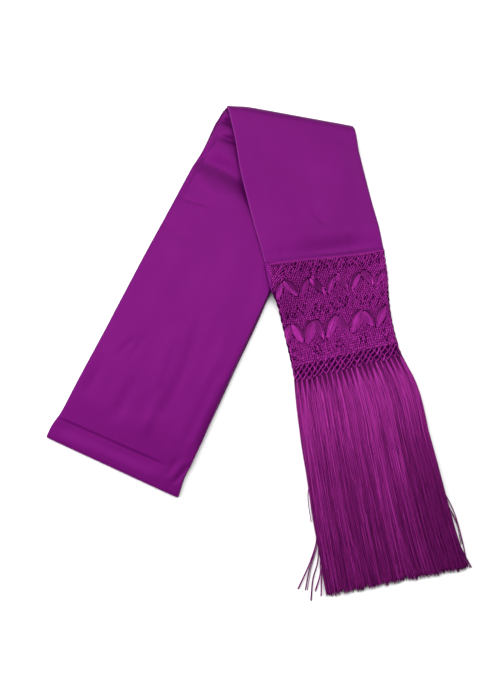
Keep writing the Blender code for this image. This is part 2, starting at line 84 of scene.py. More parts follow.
# Slanting fold
FOLD_LEFT, FOLD_RIGHT = np.array((-33.0, 357.0)), np.array((147.0, 319.0))
FOLD_SIDE = (FOLD_RIGHT - FOLD_LEFT) / np.linalg.norm(FOLD_RIGHT - FOLD_LEFT)
FOLD_OUT = np.array((-FOLD_SIDE[1], FOLD_SIDE[0]))
FOLD_DEPTH, FOLD_BULGE = 9.6, 1.6   # how deep its curve is, and how far it swells out
FOLD_TOP = (15.4, 13.6)             # its height at the left and at the right
FOLD_SHEARS = (4.1, 2.8, -5.0)      # upper layers at the left and the right, lower layers
FOLD_EASE = 0.3                     # share of the upper stretch that comes down from it
FOLD_FULLNESS = 4.0                 # how far the fold's middle swells past its two ends
FOLD_SWELL_ENDS = (34.0, 3.5)       # width in which that swell dies away, left and right
FOLD_PRESS = (2.2, 6.0)             # above and below: 2 is a round section, more a pressed one

# Left and right edges of the upper stretch, the band and the fringe
UPPER_HEIGHT = 4.3
UPPER_LENGTH = 260.0
UPPER_EDGES = (
    ((-33.0, 357.0), (-29.6, 345.0), (-26.0, 326.4), (-21.9, 306.4), (-13.6, 251.3),
     (-5.7, 213.5), (4.6, 168.3), (17.4, 117.9), (20.3, 104.6)),
    ((147.0, 319.0), (148.9, 306.0), (151.8, 282.0), (156.4, 258.0), (165.2, 214.0),
     (174.3, 171.0), (180.6, 131.3)))
BAND_EDGES = (
    ((20.4, 104.2), (28.2, 68.0), (35.0, 50.0), (40.0, 30.1), (47.2, -2.3), (53.3, -32.8),
     (56.3, -51.6), (56.8, -59.0)),
    ((180.7, 130.9), (183.6, 95.1), (183.8, 65.4), (185.2, 38.9), (190.3, 5.8), (194.8, -15.2),
     (197.9, -21.6)))
BAND_END = 1.046                    # where those last points are, as a fraction of the band
FRINGE_EDGES = (
    ((56.3, -52.0), (58.4, -79.9), (63.8, -132.8), (70.8, -184.1), (77.0, -234.0),
     (84.6, -282.5), (90.0, -320.0)),
    ((194.9, -15.6), (205.0, -39.0), (214.5, -66.0), (219.5, -90.0), (223.5, -119.7),
     (228.8, -146.4), (236.3, -184.1), (248.8, -246.3), (259.0, -287.0)))
DRAPE_START = 3.0
DRAPE_WIDTHS = (44.0, 76.0)         # of the band and of the cloth, which hangs in a wider curve
DRAPE_CHANGE = (20.0, 120.0)        # y between which one becomes the other

# Creases of the cloth: points in plan, depth (less than nothing is a ridge), half-width
LOWER_CREASES = (
    (((-66, 270), (-48, 263), (-31, 253), (-15, 239), (3, 218)), 5.4, 14.0),
    (((-20, 322), (-16, 300), (-8, 262), (3, 222), (10, 196)), 4.2, 13.0),
    (((-42, 322), (-52, 301), (-77, 254), (-94, 215)), 2.0, 2.7),
    (((-37, 334), (-29, 333), (-20, 331)), 6.2, 5.4),
    (((-37, 306), (-26, 304), (-14, 301)), 4.6, 5.2),
    (((-78, 262), (-60, 232), (-40, 214)), -0.9, 10.0),
    (((-99, 214), (-84, 206), (-66, 201), (-50, 196)), 0.8, 2.6),
    (((-170, -22), (-160, -8), (-148, 2)), 0.8, 4.0),
    (((-152, -22), (-144, -8), (-138, 2)), 0.7, 3.6),
    (((-62, 40), (-78, -25), (-92, -60), (-106, -95)), 1.6, 9.0),
    (((-38, -56), (-58, -106), (-80, -156)), -0.9, 5.0),
    (((-26, 20), (-41, -22), (-66, -78), (-88, -134)), -1.0, 9.0),
    (((-98, 150), (-120, 95), (-140, 40)), 1.1, 13.0),
    (((-50, 130), (-72, 80), (-90, 40)), -1.1, 12.0),
    (((-186, 14), (-182, 23), (-177, 31)), 0.9, 3.0),
    (((-150, -60), (-165, -95), (-178, -120)), 1.4, 9.0),
    (((-118, -80), (-128, -110), (-136, -138)), -1.3, 8.0),
    (((-206, -70), (-196, -46), (-190, -28)), 1.1, 7.0),
    (((-100, 10), (-112, -30), (-120, -66)), -1.0, 7.0),
    (((-30, 150), (-40, 116), (-48, 84)), 0.6, 8.0),
    (((-120, 176), (-104, 160), (-86, 148)), 0.6, 7.0),
)
HEM_STEP = (31.4, -0.012, 1.5, 3.2)  # s of the hem's step, its slant, its depth, how wide it is
HEM_CREASES = (
    (((-92, -188), (-83, -177), (-75, -167)), 1.6, 1.6),
    (((-98, -184), (-89, -172), (-82, -162)), -1.0, 2.4),
    (((-102, -178), (-95, -166), (-90, -158)), 0.7, 2.0),
)
UPPER_CREASES = (
    (((24, 140), (60, 149), (110, 158), (150, 165), (180, 169)), -1.0, 12.0),
    (((16, 113), (60, 122), (110, 131), (150, 138), (188, 142)), 1.75, 11.5),
    (((84, 186), (92, 178), (99, 169)), 0.8, 2.6),
    (((133, 154), (135, 143), (137, 132)), 0.8, 2.2),
    (((41, 130), (43, 120), (45, 110)), 0.7, 2.2),
    (((36, 234), (32, 220), (30, 206)), 0.4, 2.6),
    (((60, 226), (57, 212), (56, 200)), 0.35, 2.6),
    (((4, 290), (60, 252), (110, 236)), 0.5, 20.0),
    (((66, 300), (72, 262), (80, 230)), 0.4, 10.0),
    (((120, 290), (128, 250), (134, 215)), -0.4, 11.0),
)
# lower stretch's right edge drops: depth, half-width, s from none of it to all of it
EDGE_DROP = (1.9, 3.2, 230.0, 140.0)
EDGE_RIDGE = (0.5, 2.2, 1.3)        # of the upper one's left edge: height, place, half-width
UNEVENNESS = (0.55, 0.34)           # of the lower stretch and of the upper one
# upper creases fade in from the fold and partly out at the band: distances from the fold, share
UPPER_FADE_IN, UPPER_FADE_OUT, UPPER_FADE = (12.0, 52.0), (249.0, 257.0), 0.75
UPPER_UV_START = 500.0              # the upper stretch has its own share of the cloth's width
PAINTED_EDGE_HIGHLIGHT = (0.5009, 0.0011)     # painted highlight along its left edge on the cloth: place, half-width, m
# doubled layers under the cloth of the lower stretch: depths of each from its underside, insets
# of its left and right edges, s where it starts, phase of its wandering edges
CLOTH_LAYERS = (
    (0.05, 2.30, 0.2, 0.9, 8.0, 1.0),
    (2.35, 4.40, 1.3, 0.1, 40.0, 2.3),
    (4.45, 6.35, 0.3, 1.4, 44.0, 3.9),
)
LAYERS_DEPTH = 6.4                  # of all of them
LAYERS_STEP = 5.2                   # distance between their rings

# Knotted band, in fractions: u across it, f along it
BAND_TOP = 4.6                      # middle of the top layer's threads over what they lie on
BAND_MM = (152.0, 153.0)            # what u and f stand for
STRIP_WIDTHS, STRIP_END = (5.5, 1.6), 0.27   # of the cloth's edge beside the band, mm and f
KNOT_COLUMNS = 52
KNOT_ZONES = ((0.012, 0.730, 0.0192, 0.5), (0.742, 0.898, 0.0218, 0.10))  # f, f, step, stagger
# rows of small holes: columns, first f, rows apart, rows, wave of the rows, half-width and length
HOLE_ROWS = (
    (13.6, 0.036, 0.046, 2, 0.004, 2.1, 3.1),
    (13.2, 0.422, 0.052, 2, 0.016, 1.9, 2.9),
)
ROSETTES = ((0.050, 0.800, 1.0), (0.266, 0.797, 0.9), (0.477, 0.795, 1.0), (0.700, 0.790, 1.35),
            (0.910, 0.807, 1.1))     # u, f, size
ROSETTE_HOLES = ((0.0, -0.031), (0.026, 0.0), (0.004, 0.033), (-0.026, 0.003))
LACE_START, LACE_STEP = 0.890, 0.0345    # f of its first row, and from row to row
LACE_COLUMNS, LACE_ROWS = 19, 4
LACE_LEAN = 0.20                    # columns that it shifts by from row to row
LACE_ENDS = (0.008, 0.992)          # least and greatest u of a crossing
LACE_CORDS = ((0.004, 1.0), (0.013, 0.7), (0.986, 0.6), (0.995, 0.9))   # u, lightness
# leaf bundles in zigzags. A rising leaf stands on each foot and a falling one comes down to the
# next: feet, f of feet and tops, share of the way that the rising one goes, widths mm, rising
# lightness (painted highlight), falling lightness at foot and top for each gap (under 0.6 is
# painted shade), and whether short bundles top it
LEAF_ZONES = (
    ((0.0, 0.216, 0.45, 0.656, 0.88, 1.10), 0.322, 0.158, 0.42, 8.2, 10.8, 1.22,
     ((0.95, 0.7), (0.5, 0.42), (0.5, 0.45), (1.0, 0.42), (0.6, 0.5)), True),
    ((-0.06, 0.165, 0.36, 0.596, 0.83, 1.05), 0.726, 0.540, 0.53, 13.4, 12.0, 1.30,
     ((1.2, 1.1), (1.25, 0.5), (0.6, 0.45), (1.25, 1.0), (0.8, 0.6)), False),
)
LEAF_PITCH = 0.66                   # width of a leaf for each of its strands
# upright cords at the band's right edge: f of their ends, lightness of each, light and dark by
# turns as painted highlight and painted shade
EDGE_CORDS = ((0.03, 0.36, (1.1, 0.45, 1.0, 0.35, 1.1)), (0.50, 0.72, (0.45, 1.0, 0.4)))
# layers under the band: depths, insets of the left and right edges, phase of their scallops
BAND_LAYERS = ((1.5, 3.2, 0.6, 0.2, 0.4), (0.05, 1.6, 0.1, 0.9, 2.2))

# Fringe: name, bundles, wisps in each, strands in a wisp, height of its root, its middle and
# its ends, lightness (the lower layers darker: painted shade under the top one), how freely it
# wanders
FRINGE_LAYERS = (
    ("fringe_lower", 24, 4, 6, 1.0, 1.3, 0.9, 0.72, 0.1),
    ("fringe_middle", 23, 6, 6, 2.7, 3.2, 2.2, 0.86, 0.6),
    ("fringe_upper", 22, 9, 9, 4.5, 5.7, 4.0, 1.00, 1.0),
)
FRINGE_OPEN = 0.11                  # share of its length in which a bundle opens out
FRINGE_STARTS = (0.004, 0.016)      # where strands start: in the hidden layers, in the top one
FRINGE_GATHERS = (0.85, 0.34)       # share of its own place that a root keeps, likewise
FRINGE_LENGTHS = (1.007, 1.028)     # usual and greatest
FRINGE_LIMITS = (0.62, 7.2)         # lowest and highest that a strand goes
WISP_DRIFT = 0.0065                 # spread of wisps sideways, as a fraction of its width
WISP_SPREADS = (0.34, 0.14, 0.004)  # and in height, mm, in lightness and in length
WISP_WAVES = (0.0030, 0.0016)       # and of their slow and quick waves
LOOSE_SHARE = 0.09                  # of the strands
# places down the fringe, and its painted light and shade there: a painted sheen near the top,
# darker towards the ends
FRINGE_PAINTED_LIGHT = ((0.0, 0.06, 0.22, 0.45, 0.70, 1.0), (0.95, 1.32, 1.29, 0.98, 0.80, 0.68))
# loose strands: points in plan, strands
STRAYS = (
    (((81.0, -234.0), (80.5, -258.0), (71.5, -286.0), (57.0, -316.5)), 6),
    (((81.5, -238.0), (79.0, -268.0), (71.5, -292.0), (66.0, -317.5)), 6),
    (((83.0, -248.0), (81.5, -282.0), (75.0, -304.0), (72.0, -329.0)), 8),
    (((86.5, -262.0), (84.5, -285.0), (84.0, -300.0), (78.0, -319.0)), 5),
    (((87.0, -270.0), (86.0, -296.0), (85.0, -324.0)), 4),
    (((75.0, -180.0), (71.0, -205.0), (74.0, -236.0)), 2),
    (((234.0, -190.0), (248.5, -222.0), (256.5, -258.0), (261.0, -291.0)), 3),
    (((236.0, -203.0), (251.0, -236.0), (255.5, -262.0)), 2),
    (((250.0, -258.0), (257.5, -276.0), (264.5, -291.5)), 3),
)

# Materials: places on a thread's ramp, the share of its colour there, and white added. The ramp
# turns the shade attribute, which carries painted light and shade as well as random tone, into
# colour; its whitened top is the painted highlights' colour.
THREAD_STOPS = ((0.1, 0.22, 0.0), (0.5, 1.0, 0.0), (1.0, 2.3, 0.012))

# Lights: name, place and size in metres, whether cloth mirrors it: the window's would glare
LAMPS = (("ceiling", (0.0, 0.70, 1.45), (2.6, 1.0), True),
         ("window", (-1.6, -0.2, 0.66), (0.9, 0.9), False))
FLOOR_HALF = 4.0                    # metres


# ---------------------------------------------------------------- sizes and colours

def size_property(name, description, default, least):
    """A length that the user can change."""
    return FloatProperty(name=name, description=description, default=default, min=least,
                         unit="LENGTH")


def colour_property(name, description, default):
    """A colour that the user can change."""
    return FloatVectorProperty(name=name, description=description, default=default, size=3,
                               min=0.0, max=1.0, subtype="COLOR")


class RebozoCloth(bpy.types.PropertyGroup):
    thickness: size_property("Thickness", "Thickness of one layer of cloth", 0.00055, 0.0001)
    turn: size_property("Edge Turn", "Radius of the turned long edges", 0.0013, 0.0002)
    tuck: size_property("Tuck", "How far the cloth runs back under its edges", 0.009, 0.001)
    crease: FloatProperty(name="Creases", description="Strength of the creases",
                          default=1.0, min=0.0, max=2.0)
    step: size_property("Mesh Step", "Distance between points of the cloth", 0.0026, 0.001)
    colour: colour_property("Cloth", "Colour of the satin", (0.078, 0.0022, 0.074))
    # a little darker than the satin: painted shade on the layers at the edges
    shade: colour_property("Hidden Layers", "Colour of the layers at the edges",
                           (0.070, 0.0026, 0.064))


class RebozoBand(bpy.types.PropertyGroup):
    knot: size_property("Knot", "Half-width of a small knot", 0.00122, 0.0003)
    thread: size_property("Thread", "Radius of the net's threads", 0.00052, 0.0001)
    strand: size_property("Leaf Strand", "Radius of a leaf bundle's strands", 0.00050, 0.0001)
    colour: colour_property("Thread", "Colour of the knotted thread", (0.184, 0.0082, 0.148))
    # much darker than the thread: painted shade on the band's hidden layers, seen through the
    # holes and at the edges
    shade: colour_property("Hidden Layers", "Colour of the band's lower layers",
                           (0.056, 0.0016, 0.050))


class RebozoFringe(bpy.types.PropertyGroup):
    strand: size_property("Strand", "Radius of a strand", 0.00036, 0.0001)
    points: IntProperty(name="Points", description="Points along a strand",
                        default=18, min=6, max=40)
    colour: colour_property("Thread", "Colour of the fringe", (0.150, 0.0072, 0.116))


class RebozoStage(bpy.types.PropertyGroup):
    elevation: FloatProperty(name="Elevation", description="Camera's height over the horizon",
                             default=math.radians(68.0), subtype="ANGLE")
    distance: size_property("Distance", "From the camera to the shawl", 1.4, 0.3)
    lens: FloatProperty(name="Lens", description="Focal length", default=56.6, min=10.0,
                        unit="CAMERA")
    sky: FloatProperty(name="Sky", description="Strength of the even light", default=0.44)
    ceiling: FloatProperty(name="Ceiling", description="Strength of the soft light overhead",
                           default=34.0, unit="POWER")
    window: FloatProperty(name="Window", description="Strength of the low light from the left",
                          default=36.0, unit="POWER")
    floor: colour_property("Floor", "Colour of the floor", (0.93, 0.93, 0.93))


# ---------------------------------------------------------------- curves and places

def smooth(t, start=0.0, end=1.0):
    """Ease from 0 at the start to 1 at the end."""
    t = np.clip((t - start) / (end - start), 0.0, 1.0)
    return t * t * (3.0 - 2.0 * t)


def mix(a, b, t):
    """The value that far from a to b."""
    return a + (b - a) * t


def bell(x, middle=0.0, half=1.0):
    """A smooth bump of height 1 at its middle."""
    return np.exp(-((x - middle) / half) ** 2)


def run_along(points):
    """Distance along a row of points, from its first."""
    steps = np.linalg.norm(np.diff(points, axis=0), axis=1)
    return np.concatenate(([0.0], np.cumsum(steps)))


def through(knots, values, at, level=False):
    """Values of a smooth curve at those places; level keeps it from passing its own knots."""
    knots, at = np.asarray(knots, float), np.atleast_1d(np.asarray(at, float))
    values = np.asarray(values, float).reshape(len(knots), -1)
    gap = np.diff(knots)[:, None]
    slope = np.diff(values, axis=0) / gap
    lean = np.vstack((slope[:1], (slope[1:] * gap[:-1] + slope[:-1] * gap[1:])
                      / (gap[1:] + gap[:-1]), slope[-1:]))
    if level:
        turns = slope[1:] * slope[:-1] <= 0
        total = np.where(turns, 1.0, slope[1:] + slope[:-1])
        lean[1:-1] = np.where(turns, 0.0, 2 * slope[1:] * slope[:-1] / total)
    i = np.clip(np.searchsorted(knots, at, side="right") - 1, 0, len(gap) - 1)
    t, h = ((at - knots[i])[:, None] / gap[i]), gap[i]
    return ((2 * t ** 3 - 3 * t ** 2 + 1) * values[i] + (t ** 3 - 2 * t ** 2 + t) * h * lean[i]
            + (3 * t ** 2 - 2 * t ** 3) * values[i + 1] + (t ** 3 - t ** 2) * h * lean[i + 1])


def evenly_through(points, t):
    """Places of a smooth curve through those points, which share out its length evenly."""
    return through(np.linspace(0, 1, len(points)), points, t)


def lower_place(s, t):
    """Plan of places on the lower stretch."""
    return LOWER_ORIGIN + np.multiply.outer(s, AXIS) + np.multiply.outer(t, ACROSS)


def along_lower(xy):
    """How far along the lower stretch those places are."""
    return (xy - LOWER_ORIGIN) @ AXIS


def under_side(xy):
    """Height of what the upper stretch, band and fringe lie on."""
    t = (xy - LOWER_ORIGIN) @ ACROSS
    width = mix(*DRAPE_WIDTHS, smooth(xy[..., 1], *DRAPE_CHANGE))
    past = np.clip((t - LOWER_RIGHT_EDGE - DRAPE_START) / width, 0.0, 1.0)
    return (LOWER_HEIGHT + REST_GAP) * (1.0 - mix(past, smooth(past), 0.55))


def edged_place(edges, end, u, f, z):
    """Points u across and f along what lies between two edges, whose last points are at end."""
    u, f, z = np.broadcast_arrays(*(np.atleast_1d(np.asarray(a, float)) for a in (u, f, z)))
    left, right = (through(run / run[-1] * end, edge, f)
                   for edge, run in zip(edges, map(run_along, edges)))
    return np.column_stack((left + (right - left) * u[:, None], z))


def band_place(u, f, over):
    """Points of the band: u across it, f along it, that far over what it lies on."""
    places = edged_place(BAND_EDGES, BAND_END, u, f, over)
    places[:, 2] += under_side(places[:, :2])
    return places


def crease_drop(xy, creases):
    """How far creases lower the cloth at those places."""
    drop = np.zeros(len(xy))
    for points, depth, width in creases:
        t = np.linspace(0, 1, max(25, int(3.0 * run_along(points)[-1] / width)))
        far = np.linalg.norm(xy[:, None] - evenly_through(points, t), axis=2)
        fade = np.sin(np.pi * (0.12 + 0.76 * t[far.argmin(axis=1)])) ** 0.7
        drop += depth * fade * bell(far.min(axis=1), 0.0, width)
    return drop


def hem_drop(xy):
    """How far the cloth steps down over the straight fold's hem, least at both ends."""
    s, t = along_lower(xy), (xy - LOWER_ORIGIN) @ ACROSS
    place, slant, depth, width = HEM_STEP
    ends = smooth(t, -98.0, -68.0) * (1.0 - smooth(t, 34.0, 68.0))
    uneven = 1.0 + 0.22 * np.sin(t / 13.0)
    return (depth * ends * uneven * smooth(s, 7.0, 23.0)
            * smooth((place + slant * (t + 91.0) - s) / width + 0.5))


def unevenness(xy, size):
    """Slow, gentle unevenness of pressed cloth."""
    x, y = xy.T
    return size * (0.5 * np.sin(x / 31.0 + y / 47.0 + 0.6)
                   + 0.4 * np.sin(x / 19.0 - y / 33.0 + 2.1)
                   + 0.3 * np.sin(x / 57.0 + y / 15.0 + 4.0)
                   + 0.2 * np.sin(y / 9.5 - x / 23.0))


# ---------------------------------------------------------------- lines across the strip

class Line:
    """A line across the folded strip, from its left edge to its right, on one of its faces."""

    def __init__(self, left, right, normal, height=None, swell=0.0):
        self.left, self.right, self.normal = left, right, normal
        self.height, self.swell = height, swell
        self.width = np.linalg.norm((right - left)[:2 if height else 3])
        self.side = (right - left) / self.width

    def at(self, x, below):
        """Points that far from the left edge and below the face."""
        points = self.left + np.multiply.outer(x, self.side)
        if self.height:
            points[:, 2] = self.height(points[:, :2])
        if self.swell:
            left, right = FOLD_SWELL_ENDS
            full = smooth(x / left) * smooth((self.width - x) / right)
            points[:, :2] += np.multiply.outer(self.swell * full, FOLD_OUT)
        return points - np.multiply.outer(below, self.normal)


def lower_lines(step, first=6.0):
    """Lines on the lower stretch's top, closer together where its hem shows through."""
    s = np.arange(first, LOWER_ROWS[-1, 0], step)
    hem = s[(s > HEM_ZONE[0]) & (s < HEM_ZONE[1])]
    s = np.sort(np.concatenate([s] + [hem + step * share for share in (0.25, 0.5, 0.75)]))
    left_t, right_s, right_t, top = through(LOWER_ROWS[:, 0], LOWER_ROWS[:, 1:], s, level=True).T
    return [Line(np.append(left, z), np.append(right, z), UP) for left, right, z
            in zip(lower_place(s, left_t), lower_place(right_s, right_t), top)]


def straight_fold_lines():
    """Lines of the lower cloth under the stack and round the straight fold."""
    radius, lines = STRAIGHT_FOLD_RADIUS, []
    for reach in np.linspace(34.0, 2.0, 9):
        ends = []
        for s, column, inset in zip(STRAIGHT_FOLD_S, (0, 2), (0.6, -0.6)):
            s = s + radius + reach
            t = through(LOWER_ROWS[:, column], LOWER_ROWS[:, column + 1],
                        max(s, LOWER_ROWS[0, column]), level=True)[0, 0]
            ends.append(np.append(lower_place(s, t + inset * smooth(reach, 0.0, 12.0)), 0.0))
        lines.append(Line(*ends, -UP))
    for a in np.radians(np.linspace(-90.0, 75.0, 12)):
        back, z = radius * (1.0 - math.cos(a)), radius * (1.0 + math.sin(a))
        ends = [np.append(lower_place(s + back, t), z)
                for s, t in zip(STRAIGHT_FOLD_S, LOWER_ROWS[0, (1, 3)])]
        lines.append(Line(*ends, np.append(-AXIS * math.cos(a), math.sin(a))))
    return lines


def fold_line(degrees):
    """The line at that angle round the slanting fold's outside."""
    a = math.radians(degrees)
    press = FOLD_PRESS[a < 0]
    reach = (abs(math.cos(a)) ** press + abs(math.sin(a)) ** press) ** (-1 / press)
    full, high = math.cos(a) * reach, math.sin(a) * reach
    back = FOLD_DEPTH * (1.0 - full) - FOLD_BULGE
    shears = FOLD_SHEARS[:2] if a > 0 else FOLD_SHEARS[2:] * 2
    ends = [np.append(place - FOLD_OUT * back + FOLD_SIDE * shear * (1.0 - full),
                      top / 2 * (1.0 + high))
            for place, top, shear in zip((FOLD_LEFT, FOLD_RIGHT), FOLD_TOP, shears)]
    return Line(*ends, np.append(FOLD_OUT * math.cos(a), math.sin(a)),
                swell=FOLD_FULLNESS * full)


def fold_thickness(degrees):
    """Thickness of all the layers at that angle round the slanting fold."""
    return mix(LOWER_HEIGHT, UPPER_HEIGHT, smooth(degrees, -90.0, 90.0))


def upper_lines(step):
    """Lines on the upper stretch's top, from the fold to the band."""
    lines, share = [], step / UPPER_LENGTH
    for station in np.minimum(np.arange(0.070, 1.0 + share / 2, share), 1.0):
        left, right = edged_place(UPPER_EDGES, 1.0, (0.0, 1.0), station, 0.0)
        ease = 1.0 - smooth(station, 0.0, FOLD_EASE)

        def height(xy, left=left[:2], way=(right - left)[:2], ease=ease):
            roll = mix(*FOLD_TOP, (xy - left) @ way / (way @ way))
            return (under_side(xy) + UPPER_HEIGHT
                    + ease * np.maximum(roll - LOWER_HEIGHT - REST_GAP - UPPER_HEIGHT, 0.0))

        lines.append(Line(left, right, UP, height))
    return lines


def turned_under(line, cloth, turn, insets=(0.0, 0.0)):
    """Points across a cloth whose long edges turn under: over its face, round and back."""
    wide, columns = line.width - sum(insets), int(CLOTH_WIDTH / (cloth.step / MM))
    angles = np.radians(np.linspace(-90.0, 90.0, 8))
    edge = np.append(turn + cloth.tuck / MM * np.array((1.0, 0.55, 0.2)),
                     turn * (1.0 - np.cos(angles)))
    low = np.append(np.full(3, 2 * turn), turn * (1.0 - np.sin(angles)))
    face = np.linspace(turn, wide - turn, columns)[1:-1]
    x = np.concatenate((edge, face, wide - edge[::-1]))
    below = np.concatenate((low, np.zeros(len(face)), low[::-1]))
    rounded = 0.45 * (np.exp(-x / 5.0) + np.exp((x - wide) / 5.0))
    return line.at(insets[0] + x, below + np.where(below < turn, rounded, rounded * 0.3)), x


def flat_loop(line, low, high, insets=(0.0, 0.0)):
    """A ring round a doubled layer: between those depths, with rounded edges."""
    radius, start, end = (high - low) / 2, insets[0], line.width - insets[1]
    angles = np.radians(np.linspace(-90.0, 90.0, 7))
    edge, down = radius * (1 - np.cos(angles)), low + radius * (1 - np.sin(angles))
    face = np.linspace(start + radius, end - radius, 15)[1:-1]
    x = np.concatenate((start + edge, face, end - edge[::-1], face[::-1]))
    flat = np.ones(len(face))
    return line.at(x, np.concatenate((down, flat * low, down[::-1], flat * high)))


# ---------------------------------------------------------------- meshes

def to_frame(points):
    """Table millimetres to the frame's metres."""
    return (np.asarray(points, float) + TABLE_ZERO) * MM


def linked(name, data):
    """A new object of that mesh, light or camera, in the scene."""
    obj = bpy.data.objects.new(name, data)
    bpy.context.scene.collection.objects.link(obj)
    return obj


def new_object(name, verts, faces, material, edges=()):
    """A mesh object at the origin, in the frame's metres."""
    mesh = bpy.data.meshes.new(name)
    mesh.from_pydata([tuple(v) for v in to_frame(verts)], list(edges), faces)
    if material:
        mesh.materials.append(material)
    return linked(name, mesh)


def grid_faces(rows, columns, closed=False):
    """Quads of a grid whose points run row by row."""
    wide = columns if closed else columns - 1
    return [(i * columns + j, i * columns + (j + 1) % columns,
             (i + 1) * columns + (j + 1) % columns, (i + 1) * columns + j)
            for i in range(rows - 1) for j in range(wide)]


def set_cloth_uv(obj, places):
    """Smooth the mesh and give it the places of cloth that its points have, mm, as a UV in m."""
    mesh = obj.data
    layer = mesh.uv_layers.new(name="cloth")
    index = np.empty(len(mesh.loops), int)
    mesh.loops.foreach_get("vertex_index", index)
    layer.data.foreach_set("uv", (places * MM)[index].reshape(-1))
    mesh.shade_smooth()


def sheet_object(name, rows, material, thickness, first=0.0):
    """One thin layer of cloth through rows of points, each with their places across it."""
    grid, across = (np.array(part) for part in zip(*rows))
    count, columns = across.shape
    middle = grid[count // 2, columns // 2]
    side = grid[count // 2, columns // 2 + 1] - middle
    ahead = grid[count // 2 + 1, columns // 2] - middle
    faces = grid_faces(count, columns)
    if np.cross(side, ahead)[2] < 0:
        faces = [face[::-1] for face in faces]
    obj = new_object(name, grid.reshape(-1, 3), faces, material)
    set_cloth_uv(obj, np.column_stack((across.reshape(-1) + first, np.repeat(
        run_along(grid[:, columns // 2]), columns))))
    solid = obj.modifiers.new("cloth", "SOLIDIFY")
    solid.thickness, solid.offset = thickness, -1.0
    return obj


def loop_object(name, tubes, material):
    """Doubled layers of cloth, each a closed flat loop through its own rings."""
    verts, faces, places = [], [], []
    for rings in map(np.array, tubes):
        count, columns = rings.shape[:2]
        middle, following = rings[count // 2], rings[count // 2 + 1]
        part = grid_faces(count, columns, closed=True)
        part += [tuple(range(columns))[::-1],
                 tuple(range((count - 1) * columns, count * columns))]
        normal = np.cross(middle[1] - middle[0], following[0] - middle[0])
        if normal @ (middle[0] - middle.mean(axis=0)) < 0:
            part = [face[::-1] for face in part]
        faces += [tuple(len(verts) + k for k in face) for face in part]
        verts += list(rings.reshape(-1, 3))
        places.append(np.column_stack((np.tile(run_along(middle), count),
                                       np.repeat(run_along(rings[:, 0]), columns))))
    obj = new_object(name, verts, faces, material)
    set_cloth_uv(obj, np.concatenate(places))
    return obj


# ---------------------------------------------------------------- nodes, and what repeats

class Nodes:
    """Adds nodes to a tree."""

    def __init__(self, tree):
        self.tree = tree

    def __call__(self, kind, inputs=None, output=0, **properties):
        """One of a new node's outputs. Its inputs are linked or set."""
        node = self.tree.nodes.new(kind)
        for key, value in properties.items():
            setattr(node, key, value)
        self.fill(node, inputs or {})
        return node.outputs[output] if len(node.outputs) else None

    def fill(self, node, inputs):
        """Link or set inputs of a node."""
        for socket, value in inputs.items():
            if isinstance(value, bpy.types.NodeSocket):
                self.tree.links.new(value, node.inputs[socket])
            else:
                node.inputs[socket].default_value = value

    def math(self, operation, *values):
        """A sum of one or two values."""
        return self("ShaderNodeMath", dict(enumerate(values)), operation=operation)

    def ramp(self, value, low, high, start, end):
        """A value taken from low and high to start and end."""
        return self("ShaderNodeMapRange", {"Value": value, "From Min": low, "From Max": high,
                                           "To Min": start, "To Max": end})

    def tone(self, share, low, high):
        """A colour between two."""
        return self("ShaderNodeMix", {0: share, 6: low, 7: high}, 2, data_type="RGBA")

    def bump(self, height, strength, distance):
        """A normal that those heights tilt."""
        return self("ShaderNodeBump", {"Height": height, "Strength": strength,
                                       "Distance": distance})

    def shade(self, inputs):
        """Link or set inputs of the material's shader."""
        self.fill(self.tree.nodes["Principled BSDF"], inputs)


def new_tree(name, inputs):
    """A geometry tree with named inputs after its geometry, what adds its nodes, its inputs."""
    tree = bpy.data.node_groups.new(name, "GeometryNodeTree")
    for label, kind, value in (("Geometry", "Geometry", None), *inputs):
        socket = tree.interface.new_socket(label, in_out="INPUT",
                                           socket_type="NodeSocket" + kind)
        if value is not None:
            socket.default_value = value
    tree.interface.new_socket("Geometry", in_out="OUTPUT", socket_type="NodeSocketGeometry")
    return tree, Nodes(tree), tree.nodes.new("NodeGroupInput").outputs


def attribute(add, name, kind):
    """An attribute of the guide's points."""
    return add("GeometryNodeInputNamedAttribute", {"Name": name}, data_type=kind)


def finish_tree(add, geometry, material):
    """The tree's last nodes: real, smooth geometry with its material."""
    even = add("GeometryNodeSetShadeSmooth", {"Geometry": geometry})
    real = add("GeometryNodeRealizeInstances", {"Geometry": even})
    painted = add("GeometryNodeSetMaterial", {"Geometry": real, "Material": material})
    add("NodeGroupOutput", {"Geometry": painted})


def thread_tree():
    """Round threads along the mesh's lines, as thick as its thickness attribute says."""
    tree, add, given = new_tree("threads_on_lines", (
        ("Radius", "Float", 0.0005), ("Sides", "Int", 4), ("Material", "Material", None)))
    curve = add("GeometryNodeMeshToCurve", {"Mesh": given["Geometry"]})
    even = add("GeometryNodeSetCurveRadius", {"Curve": curve, "Radius": 1.0})
    section = add("GeometryNodeCurvePrimitiveCircle",
                  {"Resolution": given["Sides"], "Radius": 1.0})
    scale = add.math("MULTIPLY", attribute(add, "thickness", "FLOAT"), given["Radius"])
    mesh = add("GeometryNodeCurveToMesh", {"Curve": even, "Profile Curve": section,
                                           "Scale": scale, "Fill Caps": True})
    finish_tree(add, mesh, given["Material"])
    return tree


